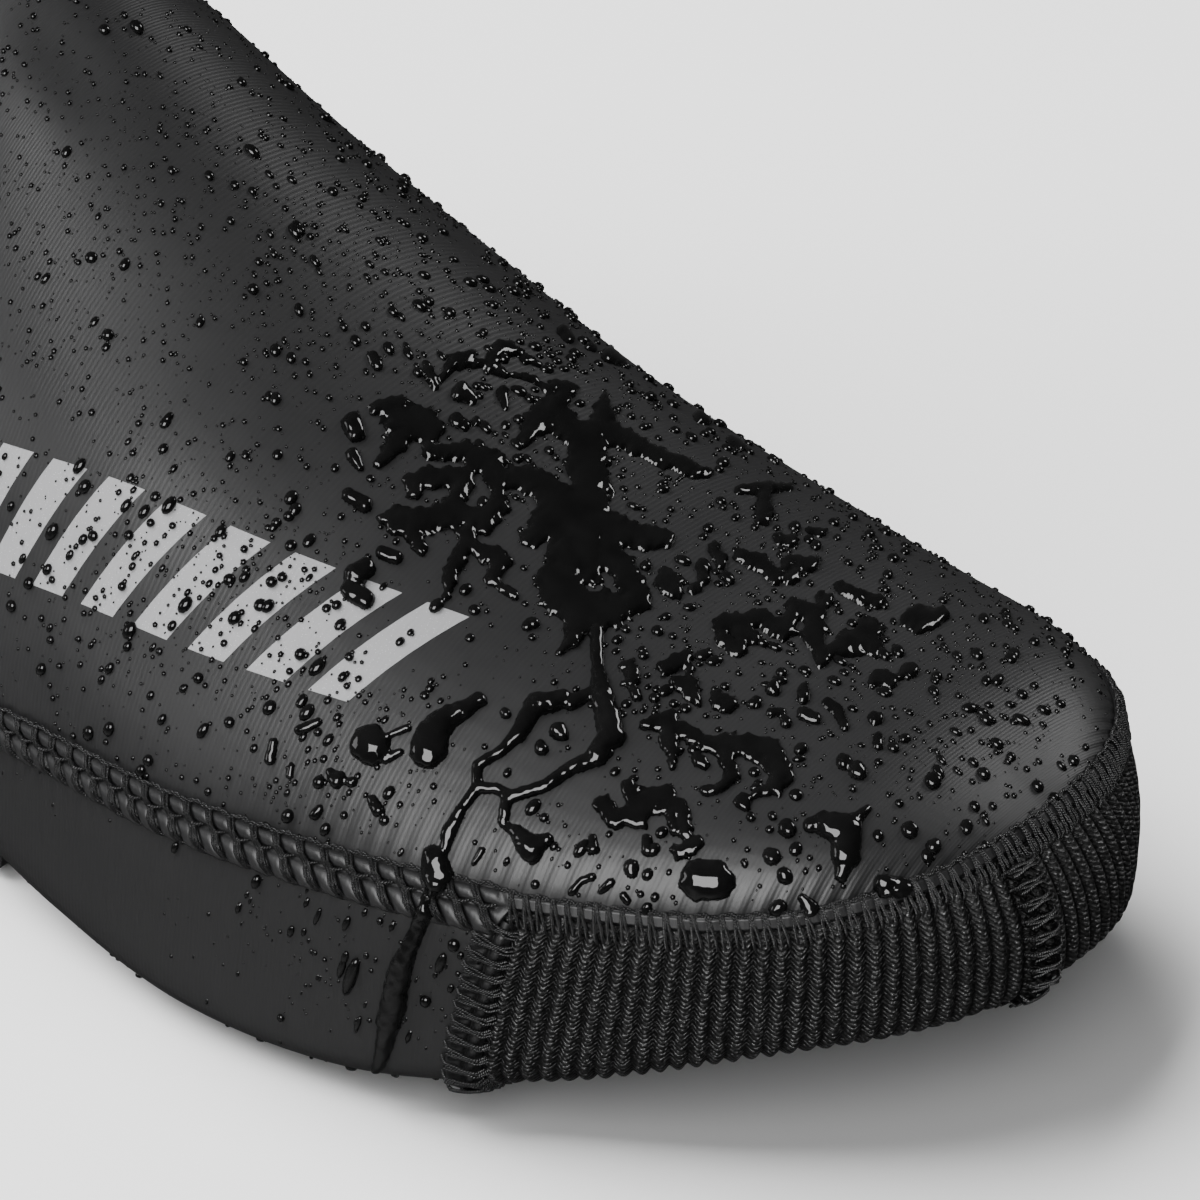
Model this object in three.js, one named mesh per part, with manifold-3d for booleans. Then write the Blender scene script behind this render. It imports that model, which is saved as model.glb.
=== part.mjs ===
// A cycling overshoe for a right foot: a neoprene bootie that is pulled over a cycling shoe.
// Millimetres. +X points to the toe, +Y to the inner (medial) side of the foot, +Z up.
// The shoe stands on the flat spots of its sole at the ball and at the heel.
import * as THREE from "three";
import { mergeVertices } from "three/addons/utils/BufferGeometryUtils.js";
import Module from "manifold-3d";

const wasm = await Module();
wasm.setup();

// Overall sizes of the neoprene shell, worn over a shoe of EU size 42 to 43
const length = 290; // back of the heel to tip of the toe
const ballWidth = 109; // across the ball of the foot
const instepHeight = 108; // floor to the ridge where the instep meets the ankle
const collarHeight = 219; // floor to the rim of the collar
const collarDepth = 82; // shin to calf at the rim
const collarWidth = 76; // across the rim
const wall = 3; // neoprene with its bonded coating
const gap = 0.3; // clearance between pieces that are sewn together
const facetAllowance = 0.12; // how far a flat facet of the shell may stand out from its true curve

// Toe of the last, measured back from the tip
const toeCentreHeight = 24; // height of the foremost point
const toeReachOuter = 58; // where the outer side starts to curve to the tip
const toeReachInner = 38; // where the inner side does
const toeReachTop = 27; // where the top starts to roll down
const toeReachUnder = 14; // where the underside starts to roll up
const toePlanPower = 2.1; // roundness of the toe from above
const toeSidePower = 2.25; // roundness of the toe from the side

// Sole panel and its two openings
const soleThickness = 3;
const soleProud = 1.2; // the panel stands this far out of the shell
const soleInset = 8; // from the widest outline to the panel's edge
const soleToeInset = 22; // the same under the toe, where the guard tucks under
const cleatLength = 70;
const cleatWidth = 60;
const cleatFromToe = 96; // tip of the toe to the middle of the opening
const heelOpeningLength = 44;
const heelOpeningWidth = 38;
const heelOpeningFromHeel = 38; // back of the heel to the middle of the opening

// Toe guard, seams, collar hem and the strap under the arch
const guardLength = 50.5; // tip of the toe to the end of the guard, at its top edge
const guardLean = 0.155; // how far its end leans back for each millimetre of drop
const seamWidth = 6;
const seamHeight = 1.5;
const seamEndSpace = 1.2; // left where one seam stops short of another
const hemHeight = 13;
const hemThickness = 1;
const strapWidth = 46;
const strapThickness = 2.2;
const strapFromToe = 138; // tip of the toe to the front edge of the strap
const strapInset = 5; // from the widest outline to the end of the strap

// The foot's side view, one row for each section from the toe to the heel. ridge and keel are the
// section's highest and lowest points: ridgeAlong and keelAlong are shares of the length from the tip
// of the toe, rise and drop are shares of the instep height.
const sideProfile = [
  { ridgeAlong: 0.0, rise: 0.417, keelAlong: 0.0, drop: 0.185 },
  { ridgeAlong: 0.069, rise: 0.459, keelAlong: 0.069, drop: 0.145 },
  { ridgeAlong: 0.155, rise: 0.505, keelAlong: 0.155, drop: 0.074 },
  { ridgeAlong: 0.241, rise: 0.57, keelAlong: 0.241, drop: 0.017 },
  { ridgeAlong: 0.328, rise: 0.66, keelAlong: 0.328, drop: 0.007 },
  { ridgeAlong: 0.414, rise: 0.787, keelAlong: 0.414, drop: 0.022 },
  { ridgeAlong: 0.483, rise: 0.905, keelAlong: 0.493, drop: 0.054 },
  { ridgeAlong: 0.534, rise: 0.998, keelAlong: 0.576, drop: 0.089 },
  { ridgeAlong: 0.569, rise: 1.06, keelAlong: 0.672, drop: 0.078 },
  { ridgeAlong: 0.597, rise: 1.12, keelAlong: 0.776, drop: 0.03 },
  { ridgeAlong: 0.617, rise: 1.185, keelAlong: 0.872, drop: 0.008 },
  { ridgeAlong: 0.634, rise: 1.259, keelAlong: 0.947, drop: 0.035 },
  { ridgeAlong: 0.645, rise: 1.333, keelAlong: 0.988, drop: 0.14 },
  { ridgeAlong: 0.655, rise: 1.407, keelAlong: 1.0, drop: 0.32 },
];

// The shape of the same sections across the foot. outer, inner and swing are shares of the ball width:
// the half widths, and how far the middle line swings to the inner side. belt is the share of the
// section's height where it is widest; crown and base say how square it is above and below that.
const crossSections = [
  { outer: 0.384, inner: 0.3, swing: 0.083, belt: 0.4, crown: 2.5, base: 5 },
  { outer: 0.423, inner: 0.359, swing: 0.069, belt: 0.4, crown: 2.5, base: 6 },
  { outer: 0.467, inner: 0.41, swing: 0.046, belt: 0.38, crown: 2.4, base: 7.5 },
  { outer: 0.515, inner: 0.451, swing: 0.023, belt: 0.35, crown: 2.3, base: 8 },
  { outer: 0.528, inner: 0.469, swing: 0.005, belt: 0.32, crown: 2.15, base: 8 },
  { outer: 0.504, inner: 0.458, swing: 0.0, belt: 0.3, crown: 2.05, base: 7.5 },
  { outer: 0.471, inner: 0.425, swing: 0.0, belt: 0.28, crown: 1.95, base: 6.5 },
  { outer: 0.43, inner: 0.395, swing: 0.005, belt: 0.27, crown: 1.9, base: 6 },
  { outer: 0.395, inner: 0.365, swing: 0.009, belt: 0.26, crown: 1.9, base: 6 },
  { outer: 0.367, inner: 0.353, swing: 0.009, belt: 0.25, crown: 1.95, base: 6.5 },
  { outer: 0.353, inner: 0.349, swing: 0.005, belt: 0.26, crown: 2.0, base: 5.5 },
  { outer: 0.349, inner: 0.349, swing: 0.0, belt: 0.29, crown: 2.05, base: 4 },
  { outer: 0.349, inner: 0.349, swing: 0.0, belt: 0.33, crown: 2.1, base: 3 },
  { outer: 0.349, inner: 0.349, swing: 0.0, belt: 0.38, crown: 2.1, base: 2.5 },
];

// Each row is one section of the ankle and shaft. climb is the share of the way from the instep height
// to the collar; back is the calf line as a share of the length from the tip of the toe; depth and
// width are shares of the collar's; tilt lifts the shin side, as a share of the collar's depth.
const shaftSections = [
  { climb: -0.45, back: 0.993, depth: 1.165, width: 1.0, tilt: 1.2, belt: 0.42 },
  { climb: -0.19, back: 0.97, depth: 1.06, width: 0.985, tilt: 1.02, belt: 0.46 },
  { climb: 0.1, back: 0.952, depth: 0.99, width: 0.96, tilt: 0.78, belt: 0.5 },
  { climb: 0.4, back: 0.948, depth: 0.965, width: 0.945, tilt: 0.52, belt: 0.5 },
  { climb: 0.7, back: 0.955, depth: 0.98, width: 0.96, tilt: 0.26, belt: 0.5 },
  { climb: 1.0, back: 0.966, depth: 1.0, width: 1.0, tilt: 0.0, belt: 0.5 },
];
const shaftSquareness = 2.1;

// Height of the long side seam above the floor as a share of the instep height, at shares of the length
const seamLine = [
  { along: -0.03, height: 0.385 },
  { along: 0.0, height: 0.381 },
  { along: 0.069, height: 0.343 },
  { along: 0.155, height: 0.333 },
  { along: 0.241, height: 0.329 },
  { along: 0.328, height: 0.323 },
  { along: 0.414, height: 0.313 },
  { along: 0.5, height: 0.285 },
  { along: 0.586, height: 0.268 },
  { along: 0.672, height: 0.262 },
  { along: 0.793, height: 0.275 },
  { along: 0.897, height: 0.298 },
  { along: 1.03, height: 0.32 },
];

// How finely the shell is faceted
const toeStations = 10;
const footStations = 24;
const shaftStations = 10;
const underAngles = [0, 6, 18, 32, 46, 59, 71, 81]; // degrees from the keel to the belt
const overAngles = [90, 103, 116, 129, 142, 155, 168]; // degrees from the belt to the ridge

const toeX = length / 2;
const fromToe = (share) => toeX - share * length;

// A smooth curve through rows of numbers, each row keyed by its own knot value
function curveThrough(rows, knots) {
  const names = Object.keys(rows[0]);
  const last = rows.length - 1;
  const slope = (i, name) => (rows[i + 1][name] - rows[i][name]) / (knots[i + 1] - knots[i]);
  const tangents = rows.map((row, i) => {
    const tangent = {};
    for (const name of names) {
      if (i === 0) tangent[name] = slope(0, name);
      else if (i === last) tangent[name] = slope(last - 1, name);
      else {
        const before = knots[i] - knots[i - 1];
        const after = knots[i + 1] - knots[i];
        tangent[name] = (slope(i - 1, name) * after + slope(i, name) * before) / (before + after);
      }
    }
    return tangent;
  });
  return (at) => {
    let i = 0;
    while (i < last - 1 && at > knots[i + 1]) i++;
    const span = knots[i + 1] - knots[i];
    const t = (at - knots[i]) / span;
    const value = {};
    for (const name of names) {
      value[name] =
        (2 * t ** 3 - 3 * t ** 2 + 1) * rows[i][name] +
        (t ** 3 - 2 * t ** 2 + t) * span * tangents[i][name] +
        (3 * t ** 2 - 2 * t ** 3) * rows[i + 1][name] +
        (t ** 3 - t ** 2) * span * tangents[i + 1][name];
    }
    return value;
  };
}

// The tables in millimetres
function sectionRows() {
  const foot = sideProfile.map((side, i) => ({ ...side, ...crossSections[i] })).map((s) => ({
    ridgeX: fromToe(s.ridgeAlong),
    ridgeZ: s.rise * instepHeight,
    keelX: fromToe(s.keelAlong),
    keelZ: s.drop * instepHeight,
    outer: s.outer * ballWidth,
    inner: s.inner * ballWidth,
    swing: s.swing * ballWidth,
    belt: s.belt,
    crown: s.crown,
    base: s.base,
  }));
  const shaft = shaftSections.map((s) => {
    const keelX = fromToe(s.back);
    const keelZ = instepHeight + s.climb * (collarHeight - instepHeight);
    return {
      ridgeX: keelX + s.depth * collarDepth,
      ridgeZ: keelZ + s.tilt * collarDepth,
      keelX,
      keelZ,
      outer: (s.width * collarWidth) / 2,
      inner: (s.width * collarWidth) / 2,
      swing: 0,
      belt: s.belt,
      crown: shaftSquareness,
      base: shaftSquareness,
    };
  });
  return [...foot, ...shaft];
}

const rows = sectionRows();
const knots = [0];
for (let i = 1; i < rows.length; i++) {
  const ridgeStep = Math.hypot(rows[i].ridgeX - rows[i - 1].ridgeX, rows[i].ridgeZ - rows[i - 1].ridgeZ);
  const keelStep = Math.hypot(rows[i].keelX - rows[i - 1].keelX, rows[i].keelZ - rows[i - 1].keelZ);
  knots.push(knots[i - 1] + (ridgeStep + keelStep) / 2);
}
const travelEnd = knots[knots.length - 1];
const heelBackTravel = knots[sideProfile.length - 1];
const sectionAt = curveThrough(rows, knots);
const seamAt = curveThrough(
  seamLine.map((s) => ({ z: s.height * instepHeight })),
  seamLine.map((s) => s.along * length),
);
const seamHeightAt = (x) => seamAt(toeX - x).z;

// 0 at the tip, 1 from reach inwards, round in between
function roundEnd(distance, reach, power) {
  const left = Math.max(0, 1 - Math.max(0, distance) / reach);
  return (1 - left ** power) ** (1 / power);
}

// The section at a travel along the foot, with the toe closed round its foremost point
function closedSection(travel) {
  const s = sectionAt(travel);
  const distance = toeX - s.ridgeX;
  const top = roundEnd(distance, toeReachTop, toeSidePower);
  const under = roundEnd(distance, toeReachUnder, toeSidePower);
  return {
    ...s,
    ridgeZ: toeCentreHeight + (s.ridgeZ - toeCentreHeight) * top,
    keelZ: toeCentreHeight + (s.keelZ - toeCentreHeight) * under,
    outer: s.outer * roundEnd(distance, toeReachOuter, toePlanPower),
    inner: s.inner * roundEnd(distance, toeReachInner, toePlanPower),
  };
}

// A point of the shell's outside. The angle runs from the keel (0) up the outer side to the ridge
// (half a turn) and down the inner side.
function pointAt(travel, angle) {
  const s = closedSection(travel);
  const up = -Math.cos(angle);
  const across = Math.sin(angle);
  const power = 2 / (up > 0 ? s.crown : s.base);
  const reach = Math.abs(up) ** power;
  const share = up > 0 ? s.belt + (1 - s.belt) * reach : s.belt * (1 - reach);
  const half = across > 0 ? -s.outer : s.inner;
  return new THREE.Vector3(
    s.keelX + (s.ridgeX - s.keelX) * share,
    s.swing + half * Math.abs(across) ** power,
    s.keelZ + (s.ridgeZ - s.keelZ) * share,
  );
}

function normalAt(travel, angle) {
  const step = 0.4;
  const turn = 0.02;
  if (travel < step) return new THREE.Vector3(1, 0, 0);
  const along = pointAt(travel + step, angle).sub(pointAt(travel - step, angle));
  const around = pointAt(travel, angle + turn).sub(pointAt(travel, angle - turn));
  return around.cross(along).normalize();
}

// Closed solids from grids of points
function solidFrom(points, triangles) {
  const vertProperties = new Float32Array(points.flatMap((p) => [p.x, p.y, p.z]));
  const triVerts = new Uint32Array(triangles);
  return new wasm.Manifold(new wasm.Mesh({ numProp: 3, vertProperties, triVerts }));
}

function joinRings(triangles, a, b, count) {
  for (let j = 0; j < count; j++) {
    const k = (j + 1) % count;
    triangles.push(a + j, a + k, b + k, a + j, b + k, b + j);
  }
}

function stationTravels() {
  const travels = [];
  for (let i = 1; i < toeStations; i++) {
    travels.push(toeReachOuter * (1 - Math.cos((i / toeStations) * (Math.PI / 2))));
  }
  for (let i = 0; i < footStations; i++) {
    travels.push(toeReachOuter + ((heelBackTravel - toeReachOuter) * i) / footStations);
  }
  for (let i = 0; i <= shaftStations; i++) {
    travels.push(heelBackTravel + ((travelEnd - heelBackTravel) * i) / shaftStations);
  }
  return travels;
}

function ringAngles() {
  const half = [...underAngles, ...overAngles, 180];
  const other = half.slice(1, -1).reverse().map((a) => 360 - a);
  return [...half, ...other].map(THREE.MathUtils.degToRad);
}

// The solid inside the surface that lies at an offset from the shell's outside
function lastSolid(offset, pastRim) {
  const angles = ringAngles();
  const points = [new THREE.Vector3(toeX + offset, pointAt(0, 0).y, toeCentreHeight)];
  for (const travel of stationTravels()) {
    for (const angle of angles) {
      points.push(pointAt(travel, angle).addScaledVector(normalAt(travel, angle), offset));
    }
  }
  const count = angles.length;
  let lastRing = points.length - count;
  if (pastRim > 0) {
    const rim = points.slice(lastRing);
    for (const p of rim) points.push(p.clone().add(new THREE.Vector3(0, 0, pastRim)));
    lastRing = points.length - count;
  }
  const triangles = [];
  for (let j = 0; j < count; j++) triangles.push(0, 1 + ((j + 1) % count), 1 + j);
  for (let ring = 1; ring < lastRing; ring += count) joinRings(triangles, ring, ring + count, count);
  const cap = points.length;
  const middle = new THREE.Vector3();
  for (let j = 0; j < count; j++) middle.add(points[lastRing + j]);
  points.push(middle.divideScalar(count));
  for (let j = 0; j < count; j++) triangles.push(cap, lastRing + j, lastRing + ((j + 1) % count));
  return solidFrom(points, triangles);
}

// An outline in the XZ plane, extruded right across the shoe
function sideCutter(outline) {
  const shape = new THREE.Shape(outline.map(([x, z]) => new THREE.Vector2(x, z)));
  const geometry = new THREE.ExtrudeGeometry(shape, { depth: 2 * ballWidth, bevelEnabled: false });
  geometry.translate(0, 0, -ballWidth).rotateX(Math.PI / 2);
  return solidOf(geometry);
}

// An outline in plan, extruded up and down
function planCutter(outline, low, high) {
  const shape = new THREE.Shape(outline.map(([x, y]) => new THREE.Vector2(x, y)));
  const geometry = new THREE.ExtrudeGeometry(shape, { depth: high - low, bevelEnabled: false });
  geometry.translate(0, 0, low);
  return solidOf(geometry);
}

function solidOf(geometry) {
  geometry.deleteAttribute("normal");
  geometry.deleteAttribute("uv");
  const merged = mergeVertices(geometry, 1e-4);
  const vertProperties = merged.attributes.position.array;
  return new wasm.Manifold(new wasm.Mesh({ numProp: 3, vertProperties, triVerts: merged.index.array }));
}

function meshOf(solid, name, material) {
  const made = solid.getMesh();
  const geometry = new THREE.BufferGeometry();
  const position = new Float32Array(made.numVert * 3);
  for (let i = 0; i < made.numVert; i++) {
    for (let k = 0; k < 3; k++) position[3 * i + k] = made.vertProperties[made.numProp * i + k];
  }
  geometry.setAttribute("position", new THREE.BufferAttribute(position, 3));
  geometry.setIndex(new THREE.BufferAttribute(new Uint32Array(made.triVerts), 1));
  geometry.computeVertexNormals();
  const mesh = new THREE.Mesh(geometry, material);
  mesh.name = name;
  return mesh;
}

// The space below the side seam, moved up or down by a shift
function belowSeam(shift) {
  const beyond = length * 0.2;
  const floor = -instepHeight;
  const outline = [[toeX + beyond, floor]];
  const steps = 48;
  for (let i = 0; i <= steps; i++) {
    const x = toeX + 4 - ((length + 8) * i) / steps;
    outline.push([x, seamHeightAt(x) + shift]);
  }
  outline[1][0] = toeX + beyond;
  outline[outline.length - 1][0] = -toeX - beyond;
  outline.push([-toeX - beyond, floor]);
  return sideCutter(outline);
}

// The space ahead of the toe guard's end, moved forward by a shift
const guardTopX = toeX - guardLength;
const guardEndX = (z) => guardTopX - guardLean * (seamHeightAt(guardTopX) - z);
function aheadOfGuardEnd(shift) {
  const beyond = length;
  return sideCutter([
    [guardEndX(-beyond) + shift, -beyond],
    [toeX + beyond, -beyond],
    [toeX + beyond, beyond],
    [guardEndX(beyond) + shift, beyond],
  ]);
}

// Outline of the shoe's underside in plan, clockwise from the tip of the toe along the outer side,
// moved in by an inset that may change along the foot
function undersideOutline(insetAt, count = 72) {
  const side = (inner) => {
    const list = [];
    const samples = 160;
    for (let i = 0; i <= samples; i++) {
      const travel = travelAtKeel(toeX - length * (1 - Math.cos((Math.PI * i) / samples)) / 2);
      const s = closedSection(travel);
      const heel = roundEnd(s.keelX + toeX, heelRound, toePlanPower);
      const half = inner ? s.inner : -s.outer;
      list.push(new THREE.Vector2(s.keelX, s.swing + half * heel));
    }
    return list;
  };
  const ring = [...side(false), ...side(true).reverse().slice(1, -1)];
  const even = resample(ring, count);
  return even.map((p, i) => {
    const before = even[(i + count - 1) % count];
    const after = even[(i + 1) % count];
    const along = after.clone().sub(before).normalize();
    const inset = insetAt(p.x);
    return [p.x + along.y * inset, p.y - along.x * inset];
  });
}
const heelRound = 0.12 * length;

// The travel whose keel point has a given x, on the way from the toe to the back of the heel
function travelAtKeel(x) {
  let low = 0;
  let high = heelBackTravel;
  for (let i = 0; i < 40; i++) {
    const middle = (low + high) / 2;
    if (sectionAt(middle).keelX > x) low = middle;
    else high = middle;
  }
  return (low + high) / 2;
}

// The distance travelled at each point of a closed line, and back at its start
function travelled(ring) {
  const lengths = [0];
  ring.forEach((p, i) => lengths.push(lengths[i] + p.distanceTo(ring[(i + 1) % ring.length])));
  return lengths;
}

// Evenly spaced points round a closed line
function resample(ring, count) {
  const lengths = travelled(ring);
  const total = lengths[ring.length];
  const result = [];
  let i = 0;
  for (let k = 0; k < count; k++) {
    const at = (total * k) / count;
    while (lengths[i + 1] < at) i++;
    const t = (at - lengths[i]) / (lengths[i + 1] - lengths[i] || 1);
    result.push(ring[i].clone().lerp(ring[(i + 1) % ring.length], t));
  }
  return result;
}

const ease = (t) => {
  const s = Math.min(1, Math.max(0, t));
  return s * s * (3 - 2 * s);
};
const soleInsetAt = (x) => {
  const share = ease((x - (guardTopX - soleToeInset)) / (guardLength + soleToeInset));
  return soleInset + (soleToeInset - soleInset) * share;
};

// An oval with squared corners, in plan
function roundedOpening(centreX, centreY, long, wide, count = 36) {
  const squareness = 3.2;
  const outline = [];
  for (let i = 0; i < count; i++) {
    const a = (2 * Math.PI * i) / count;
    const c = Math.cos(a);
    const s = Math.sin(a);
    outline.push([
      centreX + (long / 2) * Math.sign(c) * Math.abs(c) ** (2 / squareness),
      centreY + (wide / 2) * Math.sign(s) * Math.abs(s) ** (2 / squareness),
    ]);
  }
  return outline;
}

// The sole: a thin panel that follows the keel, flat where it stands on the floor
const keelHeightAt = (x) => closedSection(travelAtKeel(x)).keelZ;
const soleUnderside = (x) => Math.max(0, keelHeightAt(x) - soleProud);
function bandUnder(lowerAt, upperAt, fromX, toX, steps) {
  const lower = [];
  const upper = [];
  for (let i = 0; i <= steps; i++) {
    const x = fromX + ((toX - fromX) * i) / steps;
    lower.push([x, lowerAt(x)]);
    upper.unshift([x, upperAt(x)]);
  }
  return sideCutter([...lower, ...upper]);
}

function solePanel() {
  const slab = bandUnder(soleUnderside, (x) => soleUnderside(x) + soleThickness, -toeX + 2, toeX - 2, 48);
  const cleatX = toeX - cleatFromToe;
  const cleat = roundedOpening(cleatX, closedSection(travelAtKeel(cleatX)).swing, cleatLength, cleatWidth);
  const heelX = -toeX + heelOpeningFromHeel;
  const heel = roundedOpening(heelX, 0, heelOpeningLength, heelOpeningWidth);
  return slab
    .intersect(planCutter(undersideOutline(soleInsetAt), -instepHeight, instepHeight))
    .subtract(planCutter(cleat, -instepHeight, instepHeight))
    .subtract(planCutter(heel, -instepHeight, instepHeight));
}

// The strap that crosses under the arch
function archStrap() {
  const front = toeX - strapFromToe;
  const top = (x) => soleUnderside(x) - gap;
  const band = bandUnder((x) => top(x) - strapThickness, top, front - strapWidth, front, 12);
  return band.intersect(planCutter(undersideOutline(() => strapInset), -instepHeight, instepHeight));
}

// A raised seam: a low rounded band that lies along a path on the shell
function seamBand(path, closed) {
  const half = seamWidth / 2;
  const base = gap + facetAllowance;
  const profile = [
    [-half, base],
    [half, base],
    [half, base + seamHeight * 0.5],
    [half * 0.55, base + seamHeight],
    [-half * 0.55, base + seamHeight],
    [-half, base + seamHeight * 0.5],
  ];
  const points = [];
  path.forEach(({ point, normal }, i) => {
    const before = path[closed ? (i + path.length - 1) % path.length : Math.max(0, i - 1)].point;
    const after = path[closed ? (i + 1) % path.length : Math.min(path.length - 1, i + 1)].point;
    const along = after.clone().sub(before).normalize();
    const side = along.clone().cross(normal).normalize();
    const out = side.clone().cross(along).normalize();
    for (const [s, h] of profile) {
      points.push(point.clone().addScaledVector(side, s).addScaledVector(out, h));
    }
  });
  const count = profile.length;
  const triangles = [];
  const rings = path.length;
  for (let i = 0; i < (closed ? rings : rings - 1); i++) {
    joinRings(triangles, i * count, ((i + 1) % rings) * count, count);
  }
  if (!closed) {
    const end = (rings - 1) * count;
    for (let j = 1; j < count - 1; j++) {
      triangles.push(0, j + 1, j);
      triangles.push(end, end + j, end + j + 1);
    }
  }
  const solid = solidFrom(points, triangles);
  return solid.volume() < 0 ? solidFrom(points, turned(triangles)) : solid;
}

function turned(triangles) {
  const result = [];
  for (let i = 0; i < triangles.length; i += 3) {
    result.push(triangles[i], triangles[i + 2], triangles[i + 1]);
  }
  return result;
}

const onShell = (travel, angle) => ({ point: pointAt(travel, angle), normal: normalAt(travel, angle) });

// The travel where a line of the shell, the ridge or the keel, crosses a height test
function travelWhere(test, low, high) {
  for (let i = 0; i < 40; i++) {
    const middle = (low + high) / 2;
    if (test(middle)) high = middle;
    else low = middle;
  }
  return (low + high) / 2;
}
const ridgeAboveSeam = (travel) => {
  const p = pointAt(travel, Math.PI);
  return p.z - seamHeightAt(p.x);
};
const seamToeTravel = travelWhere((t) => ridgeAboveSeam(t) > 0, 0, toeReachTop);
const seamHeelTravel = travelWhere(
  (t) => closedSection(t).keelZ > seamHeightAt(closedSection(t).keelX),
  knots[sideProfile.length - 5],
  heelBackTravel + collarDepth / 2,
);

// The angle on the outer side where the side seam crosses the section at a travel
function seamAngle(travel) {
  let low = 0;
  let high = Math.PI;
  for (let i = 0; i < 40; i++) {
    const middle = (low + high) / 2;
    const p = pointAt(travel, middle);
    if (p.z < seamHeightAt(p.x)) low = middle;
    else high = middle;
  }
  return (low + high) / 2;
}

// The same on the inner side, which has its own width but the same heights
const mirrored = (angle) => 2 * Math.PI - angle;

// The side seam runs all the way round: along the outer side, round the toe and back to the heel
function sideSeamPath(count) {
  const samples = 220;
  const outer = [];
  for (let i = 0; i <= samples; i++) {
    const share = (1 - Math.cos((Math.PI * i) / samples)) / 2;
    const travel = seamToeTravel + (seamHeelTravel - seamToeTravel) * share;
    outer.push({ travel, angle: seamAngle(travel) });
  }
  const all = [...outer, ...outer.slice(1, -1).reverse().map((s) => ({ ...s, angle: mirrored(s.angle) }))];
  const placed = all.map((s) => ({ ...s, ...onShell(s.travel, s.angle) }));
  const lengths = travelled(placed.map((s) => s.point));
  const total = lengths[placed.length];
  const path = [];
  let i = 0;
  for (let k = 0; k < count; k++) {
    const at = (total * k) / count;
    while (lengths[i + 1] < at) i++;
    const next = placed[(i + 1) % placed.length];
    const t = (at - lengths[i]) / (lengths[i + 1] - lengths[i]);
    path.push({
      point: placed[i].point.clone().lerp(next.point, t),
      normal: placed[i].normal.clone().lerp(next.normal, t).normalize(),
    });
  }
  return path;
}

// How far a crossing seam's end stays from the middle of the side seam
const seamClear = seamWidth / 2 + seamEndSpace;

// A seam down the end of the toe guard, from under the side seam to the edge of the sole
function guardEndPath(inner) {
  const steps = 14;
  const behindEnd = (travel, angle) => {
    const p = pointAt(travel, angle);
    return p.x < guardEndX(p.z);
  };
  const place = (angle) => travelWhere((t) => behindEnd(t, angle), toeReachUnder, 2 * guardLength);
  const sign = inner ? mirrored : (a) => a;
  let top = seamAngle(guardLength);
  while (pointAt(place(top), top).z > seamHeightAt(guardTopX) - seamClear) top -= 0.01;
  let foot = top;
  const edge = (a) => {
    const s = closedSection(place(a));
    const p = pointAt(place(a), sign(a));
    return Math.abs(p.y - s.swing) < (inner ? s.inner : s.outer) - soleInsetAt(s.keelX) + seamEndSpace;
  };
  while (foot > 0.02 && !edge(foot)) foot -= 0.005;
  const path = [];
  for (let i = 0; i <= steps; i++) {
    const angle = top + ((foot - top) * i) / steps;
    path.push(onShell(place(angle), sign(angle)));
  }
  return path;
}

// A seam along the middle line of the shell between two travels, on the ridge or on the keel
function middlePath(angle, from, to, steps) {
  const path = [];
  for (let i = 0; i <= steps; i++) path.push(onShell(from + ((to - from) * i) / steps, angle));
  return path;
}

// The seam at the very tip of the toe, from the side seam over the foremost point and under
function toeTipPath() {
  const top = travelWhere((t) => ridgeAboveSeam(t) > -seamClear, 0, seamToeTravel);
  const under = soleToeInset - seamEndSpace;
  const down = [];
  const steps = 7;
  for (let i = 0; i < steps; i++) {
    const share = Math.sin(((1 - i / steps) * Math.PI) / 2);
    down.push(onShell(top * (1 - Math.sqrt(Math.max(0, 1 - share * share))), Math.PI));
  }
  const round = [];
  for (let i = 1; i <= steps; i++) {
    round.push(onShell(under * (1 - Math.cos(((i / steps) * Math.PI) / 2)), 0));
  }
  return [...down, onShell(0, 0), ...round];
}

// Materials
function cloth(name, color, roughness) {
  return new THREE.MeshStandardMaterial({ name, color, roughness, metalness: 0 });
}
const coated = cloth("coated_neoprene", 0x2b2b2d, 0.48);
const smooth = cloth("smooth_neoprene", 0x29292b, 0.6);
const ribbed = cloth("ribbed_knit", 0x111112, 0.85);
const thread = cloth("seam_thread", 0x161617, 0.6);
const panel = cloth("sole_fabric", 0x141415, 0.8);
const loop = cloth("loop_fabric", 0x121212, 0.95);

// The shell and the panels cut from it
const parts = new THREE.Group();
const outside = lastSolid(0, 0);
const shell = outside.subtract(lastSolid(-wall, 4 * wall));
const outlineWithGap = undersideOutline((x) => soleInsetAt(x) - gap);
const soleHole = planCutter(outlineWithGap, -instepHeight, toeCentreHeight);
const closedBelow = shell.subtract(soleHole);
const lower = closedBelow.intersect(belowSeam(-gap / 2));
const upper = shell.subtract(belowSeam(gap / 2));
const tipY = pointAt(0, 0).y;
const far = 2 * length;
const everythingBetween = (y0, y1, z) => planCutter([[-far, y0], [far, y0], [far, y1], [-far, y1]], z, far);
const outerHalf = (y) => everythingBetween(-far, y - gap / 2, -far);
const innerHalf = (y) => everythingBetween(y + gap / 2, far, -far);
const guard = lower.intersect(aheadOfGuardEnd(gap / 2));
const sides = lower.subtract(aheadOfGuardEnd(-gap / 2));
const add = (solid, name, material) => parts.add(meshOf(solid, name, material));

add(upper, "upper", coated);
add(sides.intersect(outerHalf(0)), "side_panel_outer", smooth);
add(sides.intersect(innerHalf(0)), "side_panel_inner", smooth);
add(guard.intersect(outerHalf(tipY)), "toe_guard_outer", ribbed);
add(guard.intersect(innerHalf(tipY)), "toe_guard_inner", ribbed);
add(solePanel(), "sole", panel);
add(archStrap(), "arch_strap", loop);

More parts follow.
